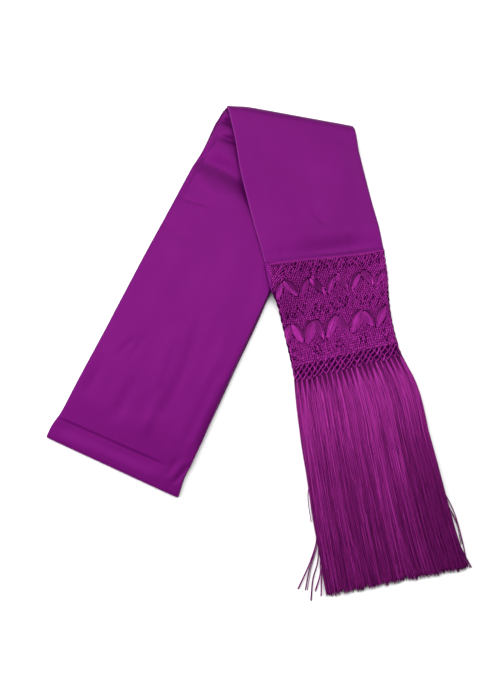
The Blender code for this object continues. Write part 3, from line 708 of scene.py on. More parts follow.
def knot_tree():
    """A small wrapped knot on each point, turned and sized by the points' attributes."""
    tree, add, given = new_tree("knots_on_points", (
        ("Radius", "Float", 0.0012), ("Flatness", "Float", 0.72), ("Unevenness", "Float", 0.12),
        ("Seed", "Int", 4), ("Material", "Material", None)))
    ball = add("GeometryNodeMeshUVSphere",
               {"Segments": 6, "Rings": 4, "Radius": given["Radius"]})
    flat = add("ShaderNodeCombineXYZ", {0: 1.0, 1: 0.86, 2: given["Flatness"]})
    knot = add("GeometryNodeTransform", {"Geometry": ball, "Scale": flat})
    low, high = (add.math(way, 1.0, given["Unevenness"]) for way in ("SUBTRACT", "ADD"))
    spread = add("FunctionNodeRandomValue", {2: low, 3: high, "Seed": given["Seed"]}, 1,
                 data_type="FLOAT")
    scale = add.math("MULTIPLY", attribute(add, "size", "FLOAT"), spread)
    turn = add("FunctionNodeEulerToRotation",
               {"Euler": attribute(add, "turn", "FLOAT_VECTOR")})
    placed = add("GeometryNodeInstanceOnPoints", {
        "Points": given["Geometry"], "Instance": knot, "Rotation": turn, "Scale": scale})
    finish_tree(add, placed, given["Material"])
    return tree


def grown(name, verts, edges, attributes, tree, values):
    """A plain mesh object of what the tree makes on a guide mesh with those attributes."""
    guide = new_object(name + "_guide", verts, [], None, edges)
    left_over = guide.data
    for label, kind, given in attributes:
        data = left_over.attributes.new(label, kind, "POINT").data
        data.foreach_set("vector" if kind == "FLOAT_VECTOR" else "value",
                         np.asarray(given, np.float32).reshape(-1))
    modifier = guide.modifiers.new("tree", "NODES")
    modifier.node_group = tree
    for item in tree.interface.items_tree:
        if item.in_out == "INPUT" and item.name in values:
            modifier[item.identifier] = values[item.name]
    shape = guide.evaluated_get(bpy.context.evaluated_depsgraph_get())
    mesh = bpy.data.meshes.new_from_object(shape)
    mesh.name = name
    guide.modifiers.remove(modifier)
    bpy.data.objects.remove(guide)
    bpy.data.meshes.remove(left_over)
    return linked(name, mesh)


class Threads:
    """Paths of threads, each with its thickness and shade along it."""

    def __init__(self):
        self.paths, self.sizes, self.shades = [], [], []

    def add(self, path, size, shade):
        self.paths.append(path)
        self.sizes.append(np.broadcast_to(size, len(path)))
        self.shades.append(np.broadcast_to(shade, len(path)))

    def grow(self, name, radius, sides, material):
        """An object of round threads along the paths."""
        edges, start = [], 0
        for path in self.paths:
            edges += [(start + k, start + k + 1) for k in range(len(path) - 1)]
            start += len(path)
        return grown(name, np.concatenate(self.paths), edges,
                     (("thickness", "FLOAT", np.concatenate(self.sizes)),
                      ("shade", "FLOAT", np.concatenate(self.shades))),
                     thread_tree(), {"Radius": radius, "Sides": sides, "Material": material})


# ---------------------------------------------------------------- materials

def dyed(colour, share, white=0.0):
    """A darker or lighter colour for a socket."""
    return (*(min(1.0, c * share + white) for c in colour), 1.0)


def new_material(name):
    """A new material and what adds its nodes."""
    material = bpy.data.materials.new(name)
    material.use_nodes = True
    return material, Nodes(material.node_tree)


def fibre(name, colour, roughness, gleam, sheen):
    """A new material and what adds its nodes. Its gloss and sheen are tinted by its own dye."""
    material, add = new_material(name)
    most = max(colour)
    tint = dyed([c / most for c in colour], 0.97, 0.03)
    add.shade({"Roughness": roughness, "Specular IOR Level": gleam, "Specular Tint": tint,
               "Sheen Weight": sheen, "Sheen Roughness": 0.4, "Sheen Tint": tint})
    return material, add


def satin(name, colour, roughness, gleam):
    """Smooth satin: fine warp and weft, faint lengthwise streaks, soft gloss."""
    material, add = fibre(name, colour, roughness, gleam, 0.05)
    uv = add("ShaderNodeTexCoord", output="UV")
    streaks, clouds = (
        add("ShaderNodeTexNoise",
            {"Vector": add("ShaderNodeMapping", {"Vector": uv, "Scale": scale}),
             "Scale": 1.0, "Detail": detail}, "Fac")
        for scale, detail in (((900.0, 9.0, 1.0), 3.0), ((26.0, 11.0, 1.0), 2.0)))
    tone = add.tone(add.ramp(add.math("ADD", streaks, clouds), 0.6, 1.4, 0.0, 1.0),
                    dyed(colour, 0.88), dyed(colour, 1.10))
    # painted highlight: a light line along the upper stretch's left edge
    place, half = PAINTED_EDGE_HIGHLIGHT
    across = add("ShaderNodeSeparateXYZ", {"Vector": uv}, "X")
    away = add.math("ABSOLUTE", add.math("SUBTRACT", across, place))
    edge = add.tone(add.ramp(away, 0.0, half, 1.0, 0.0), tone, dyed(colour, 1.55, 0.012))
    warp, weft = (
        add("ShaderNodeTexWave", {"Vector": uv, "Scale": scale, "Distortion": 0.6,
                                  "Detail": 1.0}, "Fac", bands_direction=way)
        for scale, way in ((640.0, "X"), (420.0, "Y")))
    add.shade({"Base Color": edge,
               "Normal": add.bump(add.math("ADD", warp, weft), 0.12, 0.00008),
               "Roughness": add.ramp(clouds, 0.3, 0.7, roughness - 0.05, roughness + 0.07)})
    return material


def satin_of(cloth):
    """The satin of both visible stretches."""
    return bpy.data.materials.get("satin") or satin("satin", cloth.colour, 0.40, 0.42)


def thread(name, colour, roughness, gleam, contrast):
    """Silky twisted thread, lighter or darker as its shade attribute says: random tone, and
    painted light and shade.
    """
    material, add = fibre(name, colour, roughness, gleam, 0.10)
    shade = add("ShaderNodeAttribute", output="Fac", attribute_name="shade")
    grain = add("ShaderNodeTexNoise", {"Vector": add("ShaderNodeTexCoord", output="Object"),
                                       "Scale": 700.0, "Detail": 2.0}, "Fac")
    total = add.math("ADD", shade, add.ramp(grain, 0.3, 0.7, -contrast, contrast))
    ramp = add("ShaderNodeValToRGB", {"Fac": add.math("MULTIPLY", total, 0.5)}, "Color")
    stops = ramp.node.color_ramp.elements
    stops.new(0.5)
    for stop, (place, share, white) in zip(stops, THREAD_STOPS):
        stop.position = place
        stop.color = dyed(colour, share, white)
    add.shade({"Base Color": ramp, "Normal": add.bump(grain, 0.3, 0.0001)})
    return material


def knotted(name, colour):
    """Folded layers of knotted net, seen only at their edges and through the holes. Their dark
    colour is painted shade, and they are lighter on the raised cells and darker between them,
    also painted shade.
    """
    material, add = fibre(name, colour, 0.8, 0.1, 0.05)
    cells = add("ShaderNodeTexVoronoi", {"Vector": add("ShaderNodeTexCoord", output="Object"),
                                         "Scale": 380.0}, "Distance")
    raised = add.ramp(cells, 0.1, 0.7, 1.0, 0.0)
    add.shade({"Base Color": add.tone(raised, dyed(colour, 0.45), dyed(colour, 1.35)),
               "Normal": add.bump(raised, 0.8, 0.0008)})
    return material


# ---------------------------------------------------------------- cloth

def past_hem(along):
    """How far the hem's creases have given way to the others, that far along."""
    return smooth(along, *CREASE_ZONE)


class REBOZO_OT_lower_cloth(bpy.types.Operator):
    """Build the visible cloth of the lower stretch"""
    bl_idname = "rebozo.lower_cloth"
    bl_label = "Lower Cloth"

    def execute(self, context):
        cloth = context.scene.rebozo_cloth
        turn = cloth.turn / MM
        left_in, right_in = (row[0] for row in LOWER_INSETS)
        drop_depth, drop_half, *drop_zone = EDGE_DROP
        rows = [turned_under(line, cloth, turn) for line in straight_fold_lines()]
        for line in lower_lines(cloth.step / MM):
            along = along_lower(line.left[:2])
            points, x = turned_under(line, cloth, turn, [
                most * smooth(along, start, end) for most, start, end in LOWER_INSETS])
            xy, share = points[:, :2], past_hem(along)
            drop = (crease_drop(xy, LOWER_CREASES) + unevenness(xy, UNEVENNESS[0])
                    + drop_depth * np.exp((x - x.max()) / drop_half)
                    * smooth(along, *drop_zone))
            hem = crease_drop(xy, HEM_CREASES) + hem_drop(xy)
            points[:, 2] -= cloth.crease * (drop * share + hem * (1.0 - share))
            points[:, 2] = np.maximum(points[:, 2], 0.1)
            rows.append((points, x))
        for degrees in np.linspace(-82.0, 90.0, 19):
            outer = fold_line(degrees)
            deep = outer.normal * fold_thickness(degrees)
            line = Line(outer.left - deep, outer.right - deep, -outer.normal,
                        swell=outer.swell)
            rows.append(turned_under(
                line, cloth, mix(turn, 0.4, smooth(degrees, -60.0, 60.0)),
                (mix(left_in, 1.4, smooth(degrees, -82.0, -42.0)), right_in)))
        obj = sheet_object("lower_cloth", rows, satin_of(cloth), cloth.thickness)
        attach(obj, "root")
        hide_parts("lower_stretch")
        return {"FINISHED"}


class REBOZO_OT_upper_cloth(bpy.types.Operator):
    """Build the visible cloth of the upper stretch, round the slanting fold"""
    bl_idname = "rebozo.upper_cloth"
    bl_label = "Upper Cloth"

    def execute(self, context):
        cloth = context.scene.rebozo_cloth
        turn = cloth.turn / MM * 0.85
        ridge_height, ridge_place, ridge_half = EDGE_RIDGE
        rows = [turned_under(fold_line(degrees), cloth, turn)
                for degrees in np.linspace(-90.0, 90.0, 36)]
        for line in upper_lines(cloth.step / MM):
            points, x = turned_under(line, cloth, turn)
            xy, along = points[:, :2], np.linalg.norm(line.left[:2] - FOLD_LEFT)
            drop = (crease_drop(xy, UPPER_CREASES) + unevenness(xy, UNEVENNESS[1])
                    - ridge_height * bell(x, ridge_place, ridge_half))
            share = smooth(along, *UPPER_FADE_IN) * (
                1.0 - UPPER_FADE * smooth(along, *UPPER_FADE_OUT))
            points[:, 2] -= cloth.crease * drop * share
            rows.append((points, x))
        obj = sheet_object("upper_cloth", rows, satin_of(cloth), cloth.thickness,
                           UPPER_UV_START)
        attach(obj, "root")
        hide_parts("upper_stretch")

        # the cloth's turned edge runs on beside the band, and tapers away
        rings = []
        for f in np.linspace(-0.03, STRIP_END, 24):
            near, far = band_place((-0.004, 1.0), f, 0.0) * (1, 1, 0)
            wide = mix(*STRIP_WIDTHS, smooth(f, 0.04, STRIP_END))
            line = Line(near, near + wide * (far - near) / BAND_MM[0], UP,
                        lambda xy: under_side(xy) + BAND_TOP)
            rings.append(flat_loop(line, -0.65 + 0.15 * math.sin(40.0 * f), 0.7))
        strip = loop_object("edge_strip", [rings], satin_of(cloth))
        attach(strip, "root")
        return {"FINISHED"}


class REBOZO_OT_layers(bpy.types.Operator):
    """Build the doubled layers of cloth that show at the edges"""
    bl_idname = "rebozo.layers"
    bl_label = "Hidden Layers"

    def execute(self, context):
        cloth = context.scene.rebozo_cloth
        tubes = []
        for low, high, left_in, right_in, first, phase in CLOTH_LAYERS:
            rings, longest = [], first == min(row[4] for row in CLOTH_LAYERS)
            for line in lower_lines(LAYERS_STEP, first):
                along = along_lower(line.left[:2])
                flat = Line(line.left * (1, 1, 0), line.right * (1, 1, 0), -UP)
                share = line.left[2] / LOWER_HEIGHT if longest else 1.0
                wander = 0.5 * math.sin(along / 41.0 + phase) + 0.3 * math.sin(along / 17.0)
                ring = flat_loop(flat, low, min(high, high * share + 0.3),
                                 (left_in + wander, right_in - wander))
                dip = crease_drop(ring[:, :2], LOWER_CREASES) * past_hem(along)
                ring[:, 2] *= 1.0 - dip / LOWER_HEIGHT
                rings.append(ring)
            for degrees in np.linspace(-80.0, 78.0, 14):
                skin = 2.2 * smooth(degrees, -90.0, -30.0)
                usable = (fold_thickness(degrees) - skin
                          - mix(2.6, 0.5, smooth(degrees, -90.0, 90.0)))
                depths = (skin + usable * depth / LAYERS_DEPTH for depth in (low, high))
                bulge = 2.2 * bell(degrees, -42.0, 28.0)
                rings.append(flat_loop(fold_line(degrees), *depths,
                                       (left_in - bulge, right_in)))
            if longest:
                rings += [flat_loop(line, 2.3, 4.25, (left_in + 0.4, right_in))
                          for line in upper_lines(LAYERS_STEP)]
            tubes.append(rings)
        # a darker, duller copy of the satin: painted shade on the recessed layers
        obj = loop_object("cloth_layers", tubes, satin("satin_layers", cloth.shade, 0.50, 0.25))
        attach(obj, "root")
        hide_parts("folded_layers")
        return {"FINISHED"}


# ---------------------------------------------------------------- knotted band

def band_mm(u, f):
    """Fractions of the band as flat millimetres."""
    return np.asarray(u) * BAND_MM[0], np.asarray(f) * BAND_MM[1]


def leaves():
    """Leaf bundles: foot u and f, top u and f, width, lightness at foot, middle and top (painted
    light and shade), lift.
    """
    made = []
    for zone, (feet, foot_f, top_f, rise, wide, fall_wide, bright, falls, bundles) in enumerate(
            LEAF_ZONES):
        for k, (foot, following) in enumerate(zip(feet, feet[1:])):
            uneven = 0.006 * math.sin(5.0 * k + 2.0 * zone)
            top_u = foot + rise * (following - foot) + 0.01
            made.append((foot + 0.017, foot_f + uneven, top_u, top_f + 0.02 * (1 - zone) + uneven,
                         wide * (1.0 + 0.08 * math.sin(3.0 * k)), 0.85 * bright,
                         bright * (1.0 + 0.10 * math.sin(4.0 * k + zone)), 0.60 * bright, 0.85))
            peak = top_u + 0.022
            # a dark falling leaf is painted shade, with little lift, and gets a short light
            # bundle at its foot
            foot_tone, top_tone = falls[k]
            dark = top_tone < 0.6
            made.append((following - 0.018, foot_f - 0.018 + uneven, peak, top_f + 0.004 - uneven,
                         fall_wide, mix(foot_tone, top_tone, 0.3) if dark else foot_tone,
                         mix(foot_tone, top_tone, 0.8), top_tone, 0.15 if dark else 0.7))
            if dark:
                made.append((following - 0.020, foot_f + 0.006, following - 0.016,
                             foot_f - 0.068, 2.8, 1.3, 1.35, 1.0, 0.75))
            if bundles and k in (1, 2):
                made.append((peak + 0.018, top_f + 0.078, peak - 0.002, top_f + 0.008, 4.6,
                             1.2, 1.5, 1.5, 0.95))
                made.append((peak + 0.030, top_f + 0.018, peak + 0.012, top_f - 0.014, 3.0,
                             1.6, 1.7, 1.5, 1.0))
    return made


def leaf_half_width(t, width):
    """Half the width of a leaf bundle at that fraction from its foot to its top."""
    full = np.sin(np.pi * np.clip(t, 0.0, 1.0) ** 1.2)
    return width / 2 * (0.20 + 0.80 * full ** 0.75)


def in_leaf(u, f, made, margin):
    """Whether those places lie in a leaf bundle, or that near one, mm."""
    inside = np.zeros(len(u), bool)
    for foot_u, foot_f, top_u, top_f, width, *_ in made:
        x, y = band_mm(u - foot_u, f - foot_f)
        way_x, way_y = band_mm(top_u - foot_u, top_f - foot_f)
        long = math.hypot(way_x, way_y)
        t = (x * way_x + y * way_y) / long ** 2
        far = np.abs(x * way_y - y * way_x) / long
        inside |= (t > -0.03) & (t < 1.03) & (far < leaf_half_width(t, width) + margin)
    return inside


def hole_places(chance):
    """Middles, half-sizes and lean of the small holes in the dense net."""
    holes = []
    for columns, first, gap, rows, wave, wide, long in HOLE_ROWS:
        for r in range(rows):
            for k in range(int(columns) + 1):
                u = (k + 0.3 + 0.5 * (r % 2)) / columns + 0.004 * chance.standard_normal()
                if not 0.035 < u < 0.965:
                    continue
                f = first + gap * r + wave * math.sin(2.0 * math.pi * (2.3 * u + 0.30))
                grow = 1.0 + 0.17 * chance.standard_normal()
                holes.append((u, f + 0.005 * chance.standard_normal(),
                              wide * max(grow, 0.5), long * max(grow, 0.6), 0.38))
    for u, f, size in ROSETTES:
        for k, (du, df) in enumerate(ROSETTE_HOLES):
            radius = 1.45 * size * (1.0 + 0.35 * math.sin(3.0 * k + 17.0 * u))
            holes.append((u + du * 0.85, f + df * 0.85, radius, radius, 0.3))
    return holes


def in_hole(u, f, holes, grow):
    """Whether those places lie in one of the holes, grown by that much, mm."""
    inside = np.zeros(len(u), bool)
    for hole_u, hole_f, wide, long, lean in holes:
        x, y = band_mm(u - hole_u, f - hole_f)
        inside |= (((x + lean * y) / (wide + grow)) ** 2 + (y / (long + grow)) ** 2) < 1.0
    return inside


def knot_rows():
    """Rows and columns of the small knots, with their u, their f and their zone."""
    table, r = [], 0
    for zone, (start, end, step, stagger) in enumerate(KNOT_ZONES):
        for f in np.arange(start, end, step):
            for c in range(KNOT_COLUMNS + 1):
                table.append((r, c, (c + stagger * (r % 2)) / KNOT_COLUMNS, f, zone))
            r += 1
    return np.array(table)


def dense_net(net, chance, holes, petals):
    """Add the threads of the dense net, and give back its small knots."""
    row, column, u, f, zone = knot_rows().T
    row, column = row.astype(int), column.astype(int)
    f = f + 0.003 * np.sin(u * 21.0 + f * 9.0) + 0.0012 * chance.standard_normal(len(f))
    u = u + 0.0014 * chance.standard_normal(len(u))
    kept = ((u > 0.010) & (u < 0.985) & ~in_leaf(u, f, petals, 0.35)
            & ~in_hole(u, f, holes, 0.75))
    over = (BAND_TOP + 0.16 * np.sin(u * 31.0 + f * 17.0) - 0.35 * in_leaf(u, f, petals, 3.4)
            + 0.14 * chance.standard_normal(len(u)))
    places = band_place(u, f, over)
    turns = [(0.25 * b, 0.25 * c, (0.5 - 0.45 * z) * (-1) ** r + 0.25 * a) for r, z, a, b, c
             in zip(row[kept], zone[kept], *chance.standard_normal((3, int(kept.sum()))))]
    # knots' lightness: patches of painted highlight near the right edge and at the left, a little
    # lighter towards the right and in the lower zone, and random tone
    shades = (1.32 + 0.12 * np.sin(u * 13.0 + 1.0) * np.sin(f * 11.0 + 0.5) + 0.10 * (u - 0.5)
              + 0.22 * bell(u, 0.93, 0.06) * bell(f, 0.40, 0.07)
              + 0.18 * bell(u, 0.17, 0.06) * bell(f, 0.55, 0.05) + 0.10 * zone
              + (0.18 + 0.12 * zone) * chance.standard_normal(len(u)))
    there = {(r, c): k for k, (r, c) in enumerate(zip(row, column)) if kept[k]}
    for (r, c), k in there.items():
        for other in ((r + 1, c if r % 2 else c - 1), (r + 1, c + 1 if r % 2 else c)):
            if other in there:
                net.add(places[[k, there[other]]] - (0.0, 0.0, 0.4), 0.92, 1.05)
    return list(zip(places[kept], turns, (1.0 + 0.06 * zone)[kept], shades[kept]))


def hole_rims(net, holes):
    """Add the threads round each hole, and give back the knots of the rosettes."""
    turn = np.linspace(0.0, 2.0 * np.pi, 11)
    for hole_u, hole_f, wide, long, slant in holes:
        y = (long + 0.3) * np.sin(turn) * np.abs(np.sin(turn)) ** 0.35
        x = (wide + 0.3) * np.cos(turn) * np.abs(np.cos(turn)) ** 0.35 - slant * y
        net.add(band_place(hole_u + x / BAND_MM[0], hole_f + y / BAND_MM[1], BAND_TOP - 0.1),
                0.85, 1.2)
    return [(band_place(u + 0.009 * math.cos(a), f + 0.009 * math.sin(a), BAND_TOP + 0.35)[0],
             (0.0, 0.0, a), 0.95, 1.15 + 0.1 * math.sin(a))
            for u, f, _ in ROSETTES for a in np.linspace(0.0, 2.0 * np.pi, 6)[:-1]]


def add_cords(net):
    """Add the heading's fine cords, the slanting ones at the left and the edge's upright ones."""
    u = np.linspace(0.0, 1.0, 70)
    for f, shade in ((-0.006, 1.45), (0.002, 1.25)):
        net.add(band_place(u, f + 0.0012 * np.sin(u * 300.0), BAND_TOP + 0.15), 0.9, shade)
    t = np.linspace(0.0, 1.0, 10)
    for k in range(7):
        reach = 0.135 - 0.006 * k
        f = 0.085 + 0.024 * k - 0.85 * reach * t - 0.008 * np.sin(np.pi * t)
        net.add(band_place(0.026 + reach * t, f, BAND_TOP + 0.45)[f > 0.004], 0.95,
                1.15 + 0.12 * (-1) ** k)
    t = np.linspace(0.0, 1.0, 16)
    for first, last, shades in EDGE_CORDS:
        for k, shade in enumerate(shades, 5 - len(shades)):
            net.add(band_place(0.952 + 0.0095 * k + 0.0025 * np.sin(7.0 * t + k),
                               mix(first, last, t), BAND_TOP + 0.3 - 0.1 * k), 1.15, shade)


def lace_node(row, column):
    """Place of a crossing of the lace: u and f."""
    u = (column + 0.5 * (row % 2) - LACE_LEAN * row + 0.3) / LACE_COLUMNS
    f = LACE_START + LACE_STEP * row
    u = u + 0.0045 * math.sin(3.7 * column + row) + 0.004 * math.sin(9.1 * column + 5.0 * row)
    return u, f + 0.004 * math.sin(2.3 * column + 2 * row) + 0.003 * math.sin(7.7 * column + row)


def in_lace(u):
    """Whether a crossing lies between the lace's two ends."""
    return LACE_ENDS[0] <= u <= LACE_ENDS[1]


def lace(net, chance):
    """Add the wide lace's threads, two to a rib, and its end cords. Give back its knots."""
    t = np.linspace(0.0, 1.0, 14)
    for k, (u, shade) in enumerate(LACE_CORDS):
        net.add(band_place(u + 0.002 * np.sin(9.0 * t + 2.0 * k),
                           mix(LACE_START - 0.01, LACE_START + 0.115, t), BAND_TOP - 0.1 * k),
                1.2, shade)
    t, knots = np.linspace(0.0, 1.0, 6), []
    for r in range(LACE_ROWS + 1):
        for c in range(-1, LACE_COLUMNS + 2):
            u, f = lace_node(r, c)
            if not in_lace(u):
                continue
            knots.append((band_place(u, f, BAND_TOP + 0.3)[0], (0.0, 0.0, 0.5), 1.35,
                          1.0 + 0.25 * chance.standard_normal()))
            if r == LACE_ROWS:
                continue
            for way, next_c in enumerate((c, c + 1) if r % 2 else (c - 1, c)):
                next_u, next_f = lace_node(r + 1, next_c)
                if not in_lace(next_u):
                    continue
                # threads of one slant are lighter (painted highlight) and of the other darker
                # (painted shade)
                for aside in (-1.0, 1.0):
                    bow = aside * (0.36 + 0.14 * np.sin(np.pi * t)) / BAND_MM[0]
                    net.add(band_place(mix(u, next_u, t) + bow, mix(f, next_f, t),
                                       BAND_TOP + 0.2 * aside - 0.3 * way), 1.0,
                            (1.12, 0.78)[way] + 0.24 * chance.standard_normal())
    return knots


def leaf_strands(strands, chance, petals):
    """Add strands that spread from a leaf's foot and close at its top, darker at its sides as
    painted shade, and a dark thread beside it as painted shade.
    """
    t = np.linspace(0.0, 1.0, 13)
    for foot_u, foot_f, top_u, top_f, width, at_foot, at_middle, at_top, lift in petals:
        way = np.array(band_mm(top_u - foot_u, top_f - foot_f))
        way /= np.linalg.norm(way)
        half = leaf_half_width(t, width)
        tone = np.where(t < 0.5, mix(at_foot, at_middle, smooth(t * 2.0)),
                        mix(at_middle, at_top, smooth(t * 2.0 - 1.0)))

        def beside(off, over):
            u = mix(foot_u, top_u, t) + off * way[1] / BAND_MM[0]
            return u, band_place(u, mix(foot_f, top_f, t) - off * way[0] / BAND_MM[1],
                                 BAND_TOP + over)

        if lift > 0.6 and width > 6.0:      # a dark thread along a leaf's outer side: painted shade beside it
            u, path = beside((half + 1.0) * np.sign(way[0]), 1.0)
            strands.add(path[(u > 0.012) & (u < 0.965)][2:], 2.1, 0.16)
        count = max(4, int(width / LEAF_PITCH))
        for k in range(count):
            side = (k + 0.5) / count * 2.0 - 1.0
            off = half * side + 0.22 * chance.standard_normal()
            crown = lift * np.sin(np.pi * t) ** 0.7 * (1.1 - side ** 2)
            u, path = beside(off, crown - 0.45 + 0.08 * chance.standard_normal())
            # lighter in the middle and darker at the sides: painted shade on the rounded bundle
            shade = (tone * (1.0 - 0.30 * side ** 2) * (1.0 + 0.14 * np.sin(7.0 * t + 2 * k))
                     + 0.30 * chance.standard_normal())
            inside = (u > 0.002) & (u < 0.975)
            if inside.sum() > 3:
                strands.add(path[inside], 0.9, shade[inside])


class REBOZO_OT_band(bpy.types.Operator):
    """Build the openwork top layer of the knotted band"""
    bl_idname = "rebozo.band"
    bl_label = "Knotted Band"

    def execute(self, context):
        band = context.scene.rebozo_band
        material = thread("knotted_thread", band.colour, 0.42, 0.45, 0.10)
        chance = np.random.default_rng(11)
        holes, petals, net, strands = hole_places(chance), leaves(), Threads(), Threads()
        knots = dense_net(net, chance, holes, petals) + hole_rims(net, holes)
        add_cords(net)
        knots += lace(net, chance)
        points, turns, sizes, shades = zip(*knots)
        made = [grown("band_knots", points, (), (("turn", "FLOAT_VECTOR", turns),
                                                 ("size", "FLOAT", sizes),
                                                 ("shade", "FLOAT", shades)),
                      knot_tree(), {"Radius": band.knot, "Material": material}),
                net.grow("band_threads", band.thread, 4, material)]
        leaf_strands(strands, chance, petals)
        made.append(strands.grow("band_leaves", band.strand, 5,
                                 thread("leaf_thread", band.colour, 0.36, 0.55, 0.06)))
        for obj in made:
            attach(obj, "root")
        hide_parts("knotted_band")
        return {"FINISHED"}


class REBOZO_OT_band_layers(bpy.types.Operator):
    """Build the folded layers of net under the knotted band"""
    bl_idname = "rebozo.band_layers"
    bl_label = "Band Layers"

    def execute(self, context):
        band = context.scene.rebozo_band
        tubes = []
        for low, high, left_in, right_in, phase in BAND_LAYERS:
            rings = []
            for f in np.linspace(-0.03, 1.03, 56):
                line = Line(*edged_place(BAND_EDGES, BAND_END, (0.0, 1.0), f, 0.0), UP,
                            under_side)
                scallop = 0.35 * math.sin(f * 95.0 + phase)
                rings.append(flat_loop(line, -high, -low, (left_in + scallop,
                                                           right_in - scallop)))
            tubes.append(rings)
        obj = loop_object("band_layers", tubes, knotted("knotted_layers", band.shade))
        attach(obj, "root")
        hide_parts("knotted_band_layers")
        return {"FINISHED"}


# ---------------------------------------------------------------- fringe

def fringe_painted_light(across, down):
    """Painted light and shade of the fringe: a painted sheen at its top and across its upper
    middle, darker towards its ends, and painted shade on its right side.
    """
    painted_sheen = 1.0 + 0.10 * bell(across, 0.5, 0.25) * bell(down, 0.2, 0.15)
    # painted shade on the right side, further down
    right = 1.0 - 0.38 * smooth(across, 0.62, 1.0) * smooth(down, 0.15, 0.60)
    return np.interp(down, *FRINGE_PAINTED_LIGHT) * painted_sheen * right


def add_wisp(fringe, chance, t, layer, bundle, place, bundle_length, bundle_tone):
    """Add the strands of one wisp of a bundle."""
    name, bundles, wisps, strands, root, middle, tip, light, free = layer
    top, home = name == "fringe_upper", (bundle + 0.5) / bundles
    start, usual, greatest = FRINGE_STARTS[top], *FRINGE_LENGTHS
    drift, rise, wisp_tone, wisp_length = chance.standard_normal(4) * (
        WISP_DRIFT * free, *WISP_SPREADS)
    sway, ripple = free * chance.standard_normal(2) * WISP_WAVES
    phase = chance.uniform(0.0, 6.3)
    for _ in range(strands):
        loose = free * (chance.random() < LOOSE_SHARE)
        goal = place + chance.uniform(-0.6, 0.6) / (wisps * bundles)
        length = usual + bundle_length + wisp_length
        length = min(length + 0.006 * chance.standard_normal(), greatest)
        down = start + (length - start) * t
        opened = smooth(down, start, start + FRINGE_OPEN)
        aside = (goal - home) * bundles
        across = (mix(mix(home, goal, FRINGE_GATHERS[top]), goal, opened) + drift * down ** 2
                  + loose * 0.012 * chance.standard_normal() * down ** 1.3
                  + sway * np.sin(phase + 5.0 * down) * down
                  + ripple * np.sin(2.0 * phase + 14.0 * down) * opened
                  + 0.003 * chance.standard_normal() * smooth(down, 0.9, 1.0))
        wave = chance.uniform(0.0, 6.3) + chance.uniform(6.0, 17.0) * down
        across = across + 0.0024 * np.cos(wave * 1.15) * opened
        crown = 1.0 - 1.3 * aside ** 2 * (1.0 - opened) if top else 1.0
        over = mix(mix(root, middle, smooth(down, 0.0, 0.09)) * crown, tip,
                   smooth(down, 0.5, 1.0))
        over = (over + rise * opened + 0.22 * chance.standard_normal() + 0.7 * loose
                + 0.42 * opened * np.sin(wave))
        path = edged_place(FRINGE_EDGES, 1.0, np.clip(across, 0.0, 1.0), down,
                           np.clip(over, *FRINGE_LIMITS))
        # root_shade: painted shade at the roots, in the gaps between the top layer's bundles and
        # over the lower layers' roots
        near = bell(down, start, 0.07)
        root_shade = 1.0 - near * (0.55 * (2.0 * aside) ** 2 if top else 0.60)
        grain = chance.standard_normal() * mix(0.28, 0.46, down) + 0.13 * np.sin(wave * 1.7)
        # the strand's shade: random tone times the layer's painted shade, root_shade and the
        # fringe's painted light
        fringe.add(path, np.where(t > 0.95, 0.8, 1.0 if top else 1.25 + 0.5 * near),
                   light * bundle_tone * (1.0 + wisp_tone) * root_shade * fringe_painted_light(goal, down)
                   * (1.0 + 0.35 * loose + grain))


def add_strays(fringe, chance, t):
    """Add the strands that hang loose beside the fringe."""
    for points, count in STRAYS:
        line = evenly_through(points, t)
        for _ in range(count):
            side = np.multiply.outer(0.5 + 0.9 * t, chance.standard_normal(2) * 0.5)
            low = 0.6 + 0.8 * chance.random() + 1.2 * (1.0 - t)
            fringe.add(np.column_stack((line + side, low)), 1.25,
                       0.80 + 0.12 * chance.standard_normal())


class REBOZO_OT_fringe(bpy.types.Operator):
    """Build the long fringe, layer by layer and strand by strand"""
    bl_idname = "rebozo.fringe"
    bl_label = "Fringe"

    def execute(self, context):
        fringe = context.scene.rebozo_fringe
        material = thread("fringe_thread", fringe.colour, 0.40, 0.42, 0.04)
        chance = np.random.default_rng(23)
        t = np.linspace(0.0, 1.0, fringe.points) ** 1.3
        for layer in FRINGE_LAYERS:
            name, bundles, wisps = layer[:3]
            strands = Threads()
            for bundle in range(bundles):
                length = 0.004 * chance.standard_normal()
                tone = 1.0 + 0.03 * chance.standard_normal()
                for w in range(wisps):
                    add_wisp(strands, chance, t, layer, bundle,
                             (bundle + (w + 0.5) / wisps) / bundles, length, tone)
            if name == "fringe_middle":
                add_strays(strands, chance, t)
            obj = strands.grow(name + "_strands", fringe.strand, 3, material)
            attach(obj, "root")
            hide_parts(name)
        return {"FINISHED"}


# ---------------------------------------------------------------- stage

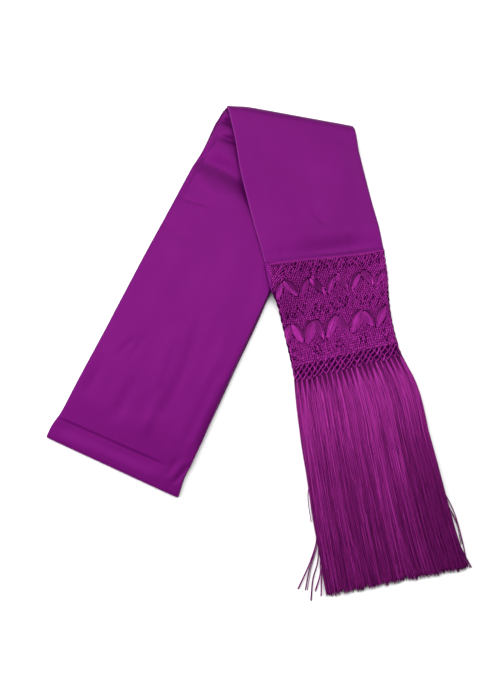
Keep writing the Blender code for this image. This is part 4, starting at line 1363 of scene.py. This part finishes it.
class REBOZO_OT_stage(bpy.types.Operator):
    """Build the pale floor, the soft lights and the camera"""
    bl_idname = "rebozo.stage"
    bl_label = "Stage"

    def execute(self, context):
        stage = context.scene.rebozo_stage
        material, add = new_material("pale_floor")
        paper = add("ShaderNodeTexNoise", {"Vector": add("ShaderNodeTexCoord", output="Object"),
                                           "Scale": 3.0}, "Fac")
        add.shade({"Base Color": add.tone(paper, dyed(stage.floor, 0.995),
                                          dyed(stage.floor, 1.0)),
                   "Roughness": 1.0, "Specular IOR Level": 0.0})
        corners = FLOOR_HALF * np.array(((-1, -1, 0), (1, -1, 0), (1, 1, 0), (-1, 1, 0)))
        floor = new_object("floor", corners / MM - TABLE_ZERO, [(0, 1, 2, 3)], material)

        world = bpy.data.worlds.new("even_light")
        world.use_nodes = True
        sky = world.node_tree.nodes["Background"]
        sky.inputs["Color"].default_value = (1.0, 1.0, 1.0, 1.0)
        sky.inputs["Strength"].default_value = stage.sky
        context.scene.world = world

        for label, place, (wide, deep), mirrored in LAMPS:
            light = bpy.data.lights.new(label, "AREA")
            light.shape, light.size, light.size_y = "RECTANGLE", wide, deep
            light.energy = getattr(stage, label)
            lamp = linked(label, light)
            lamp.visible_glossy = mirrored
            lamp.location = place
            lamp.rotation_euler = (-Vector(place)).to_track_quat("-Z", "Y").to_euler()

        back = np.array((0.0, -math.cos(stage.elevation), math.sin(stage.elevation)))
        camera = linked("camera", bpy.data.cameras.new("camera"))
        camera.data.lens = stage.lens
        camera.location = TABLE_ZERO * MM + back * stage.distance
        camera.rotation_euler = (math.pi / 2 - stage.elevation, 0.0, 0.0)
        context.scene.camera = camera
        context.scene.view_settings.view_transform = "Standard"
        return {"FINISHED"}


# ---------------------------------------------------------------- panel and running

PIECES = ("lower_cloth", "upper_cloth", "layers", "band", "band_layers", "fringe", "stage")


class REBOZO_PT_panel(bpy.types.Panel):
    """Lists the shawl's pieces and their sizes and colours"""
    bl_idname = "REBOZO_PT_panel"
    bl_label = "Rebozo Shawl"
    bl_space_type = "VIEW_3D"
    bl_region_type = "UI"
    bl_category = "Rebozo"

    def draw(self, context):
        for piece in PIECES:
            self.layout.operator("rebozo." + piece)
        for name, _ in GROUPS:
            group = getattr(context.scene, name)
            box = self.layout.box()
            box.label(text=name.removeprefix("rebozo_").title())
            for key in group.__annotations__:
                box.prop(group, key)


GROUPS = (("rebozo_cloth", RebozoCloth), ("rebozo_band", RebozoBand),
          ("rebozo_fringe", RebozoFringe), ("rebozo_stage", RebozoStage))
CLASSES = (*(group for _, group in GROUPS), REBOZO_OT_lower_cloth, REBOZO_OT_upper_cloth,
           REBOZO_OT_layers, REBOZO_OT_band, REBOZO_OT_band_layers, REBOZO_OT_fringe,
           REBOZO_OT_stage, REBOZO_PT_panel)


def register():
    for cls in CLASSES:
        bpy.utils.register_class(cls)
    for name, group in GROUPS:
        setattr(bpy.types.Scene, name, PointerProperty(type=group))


def unregister():
    for name, _ in GROUPS:
        delattr(bpy.types.Scene, name)
    for cls in reversed(CLASSES):
        bpy.utils.unregister_class(cls)


def main():
    register()
    for piece in PIECES:
        getattr(bpy.ops.rebozo, piece)()


if __name__ == "__main__":
    main()
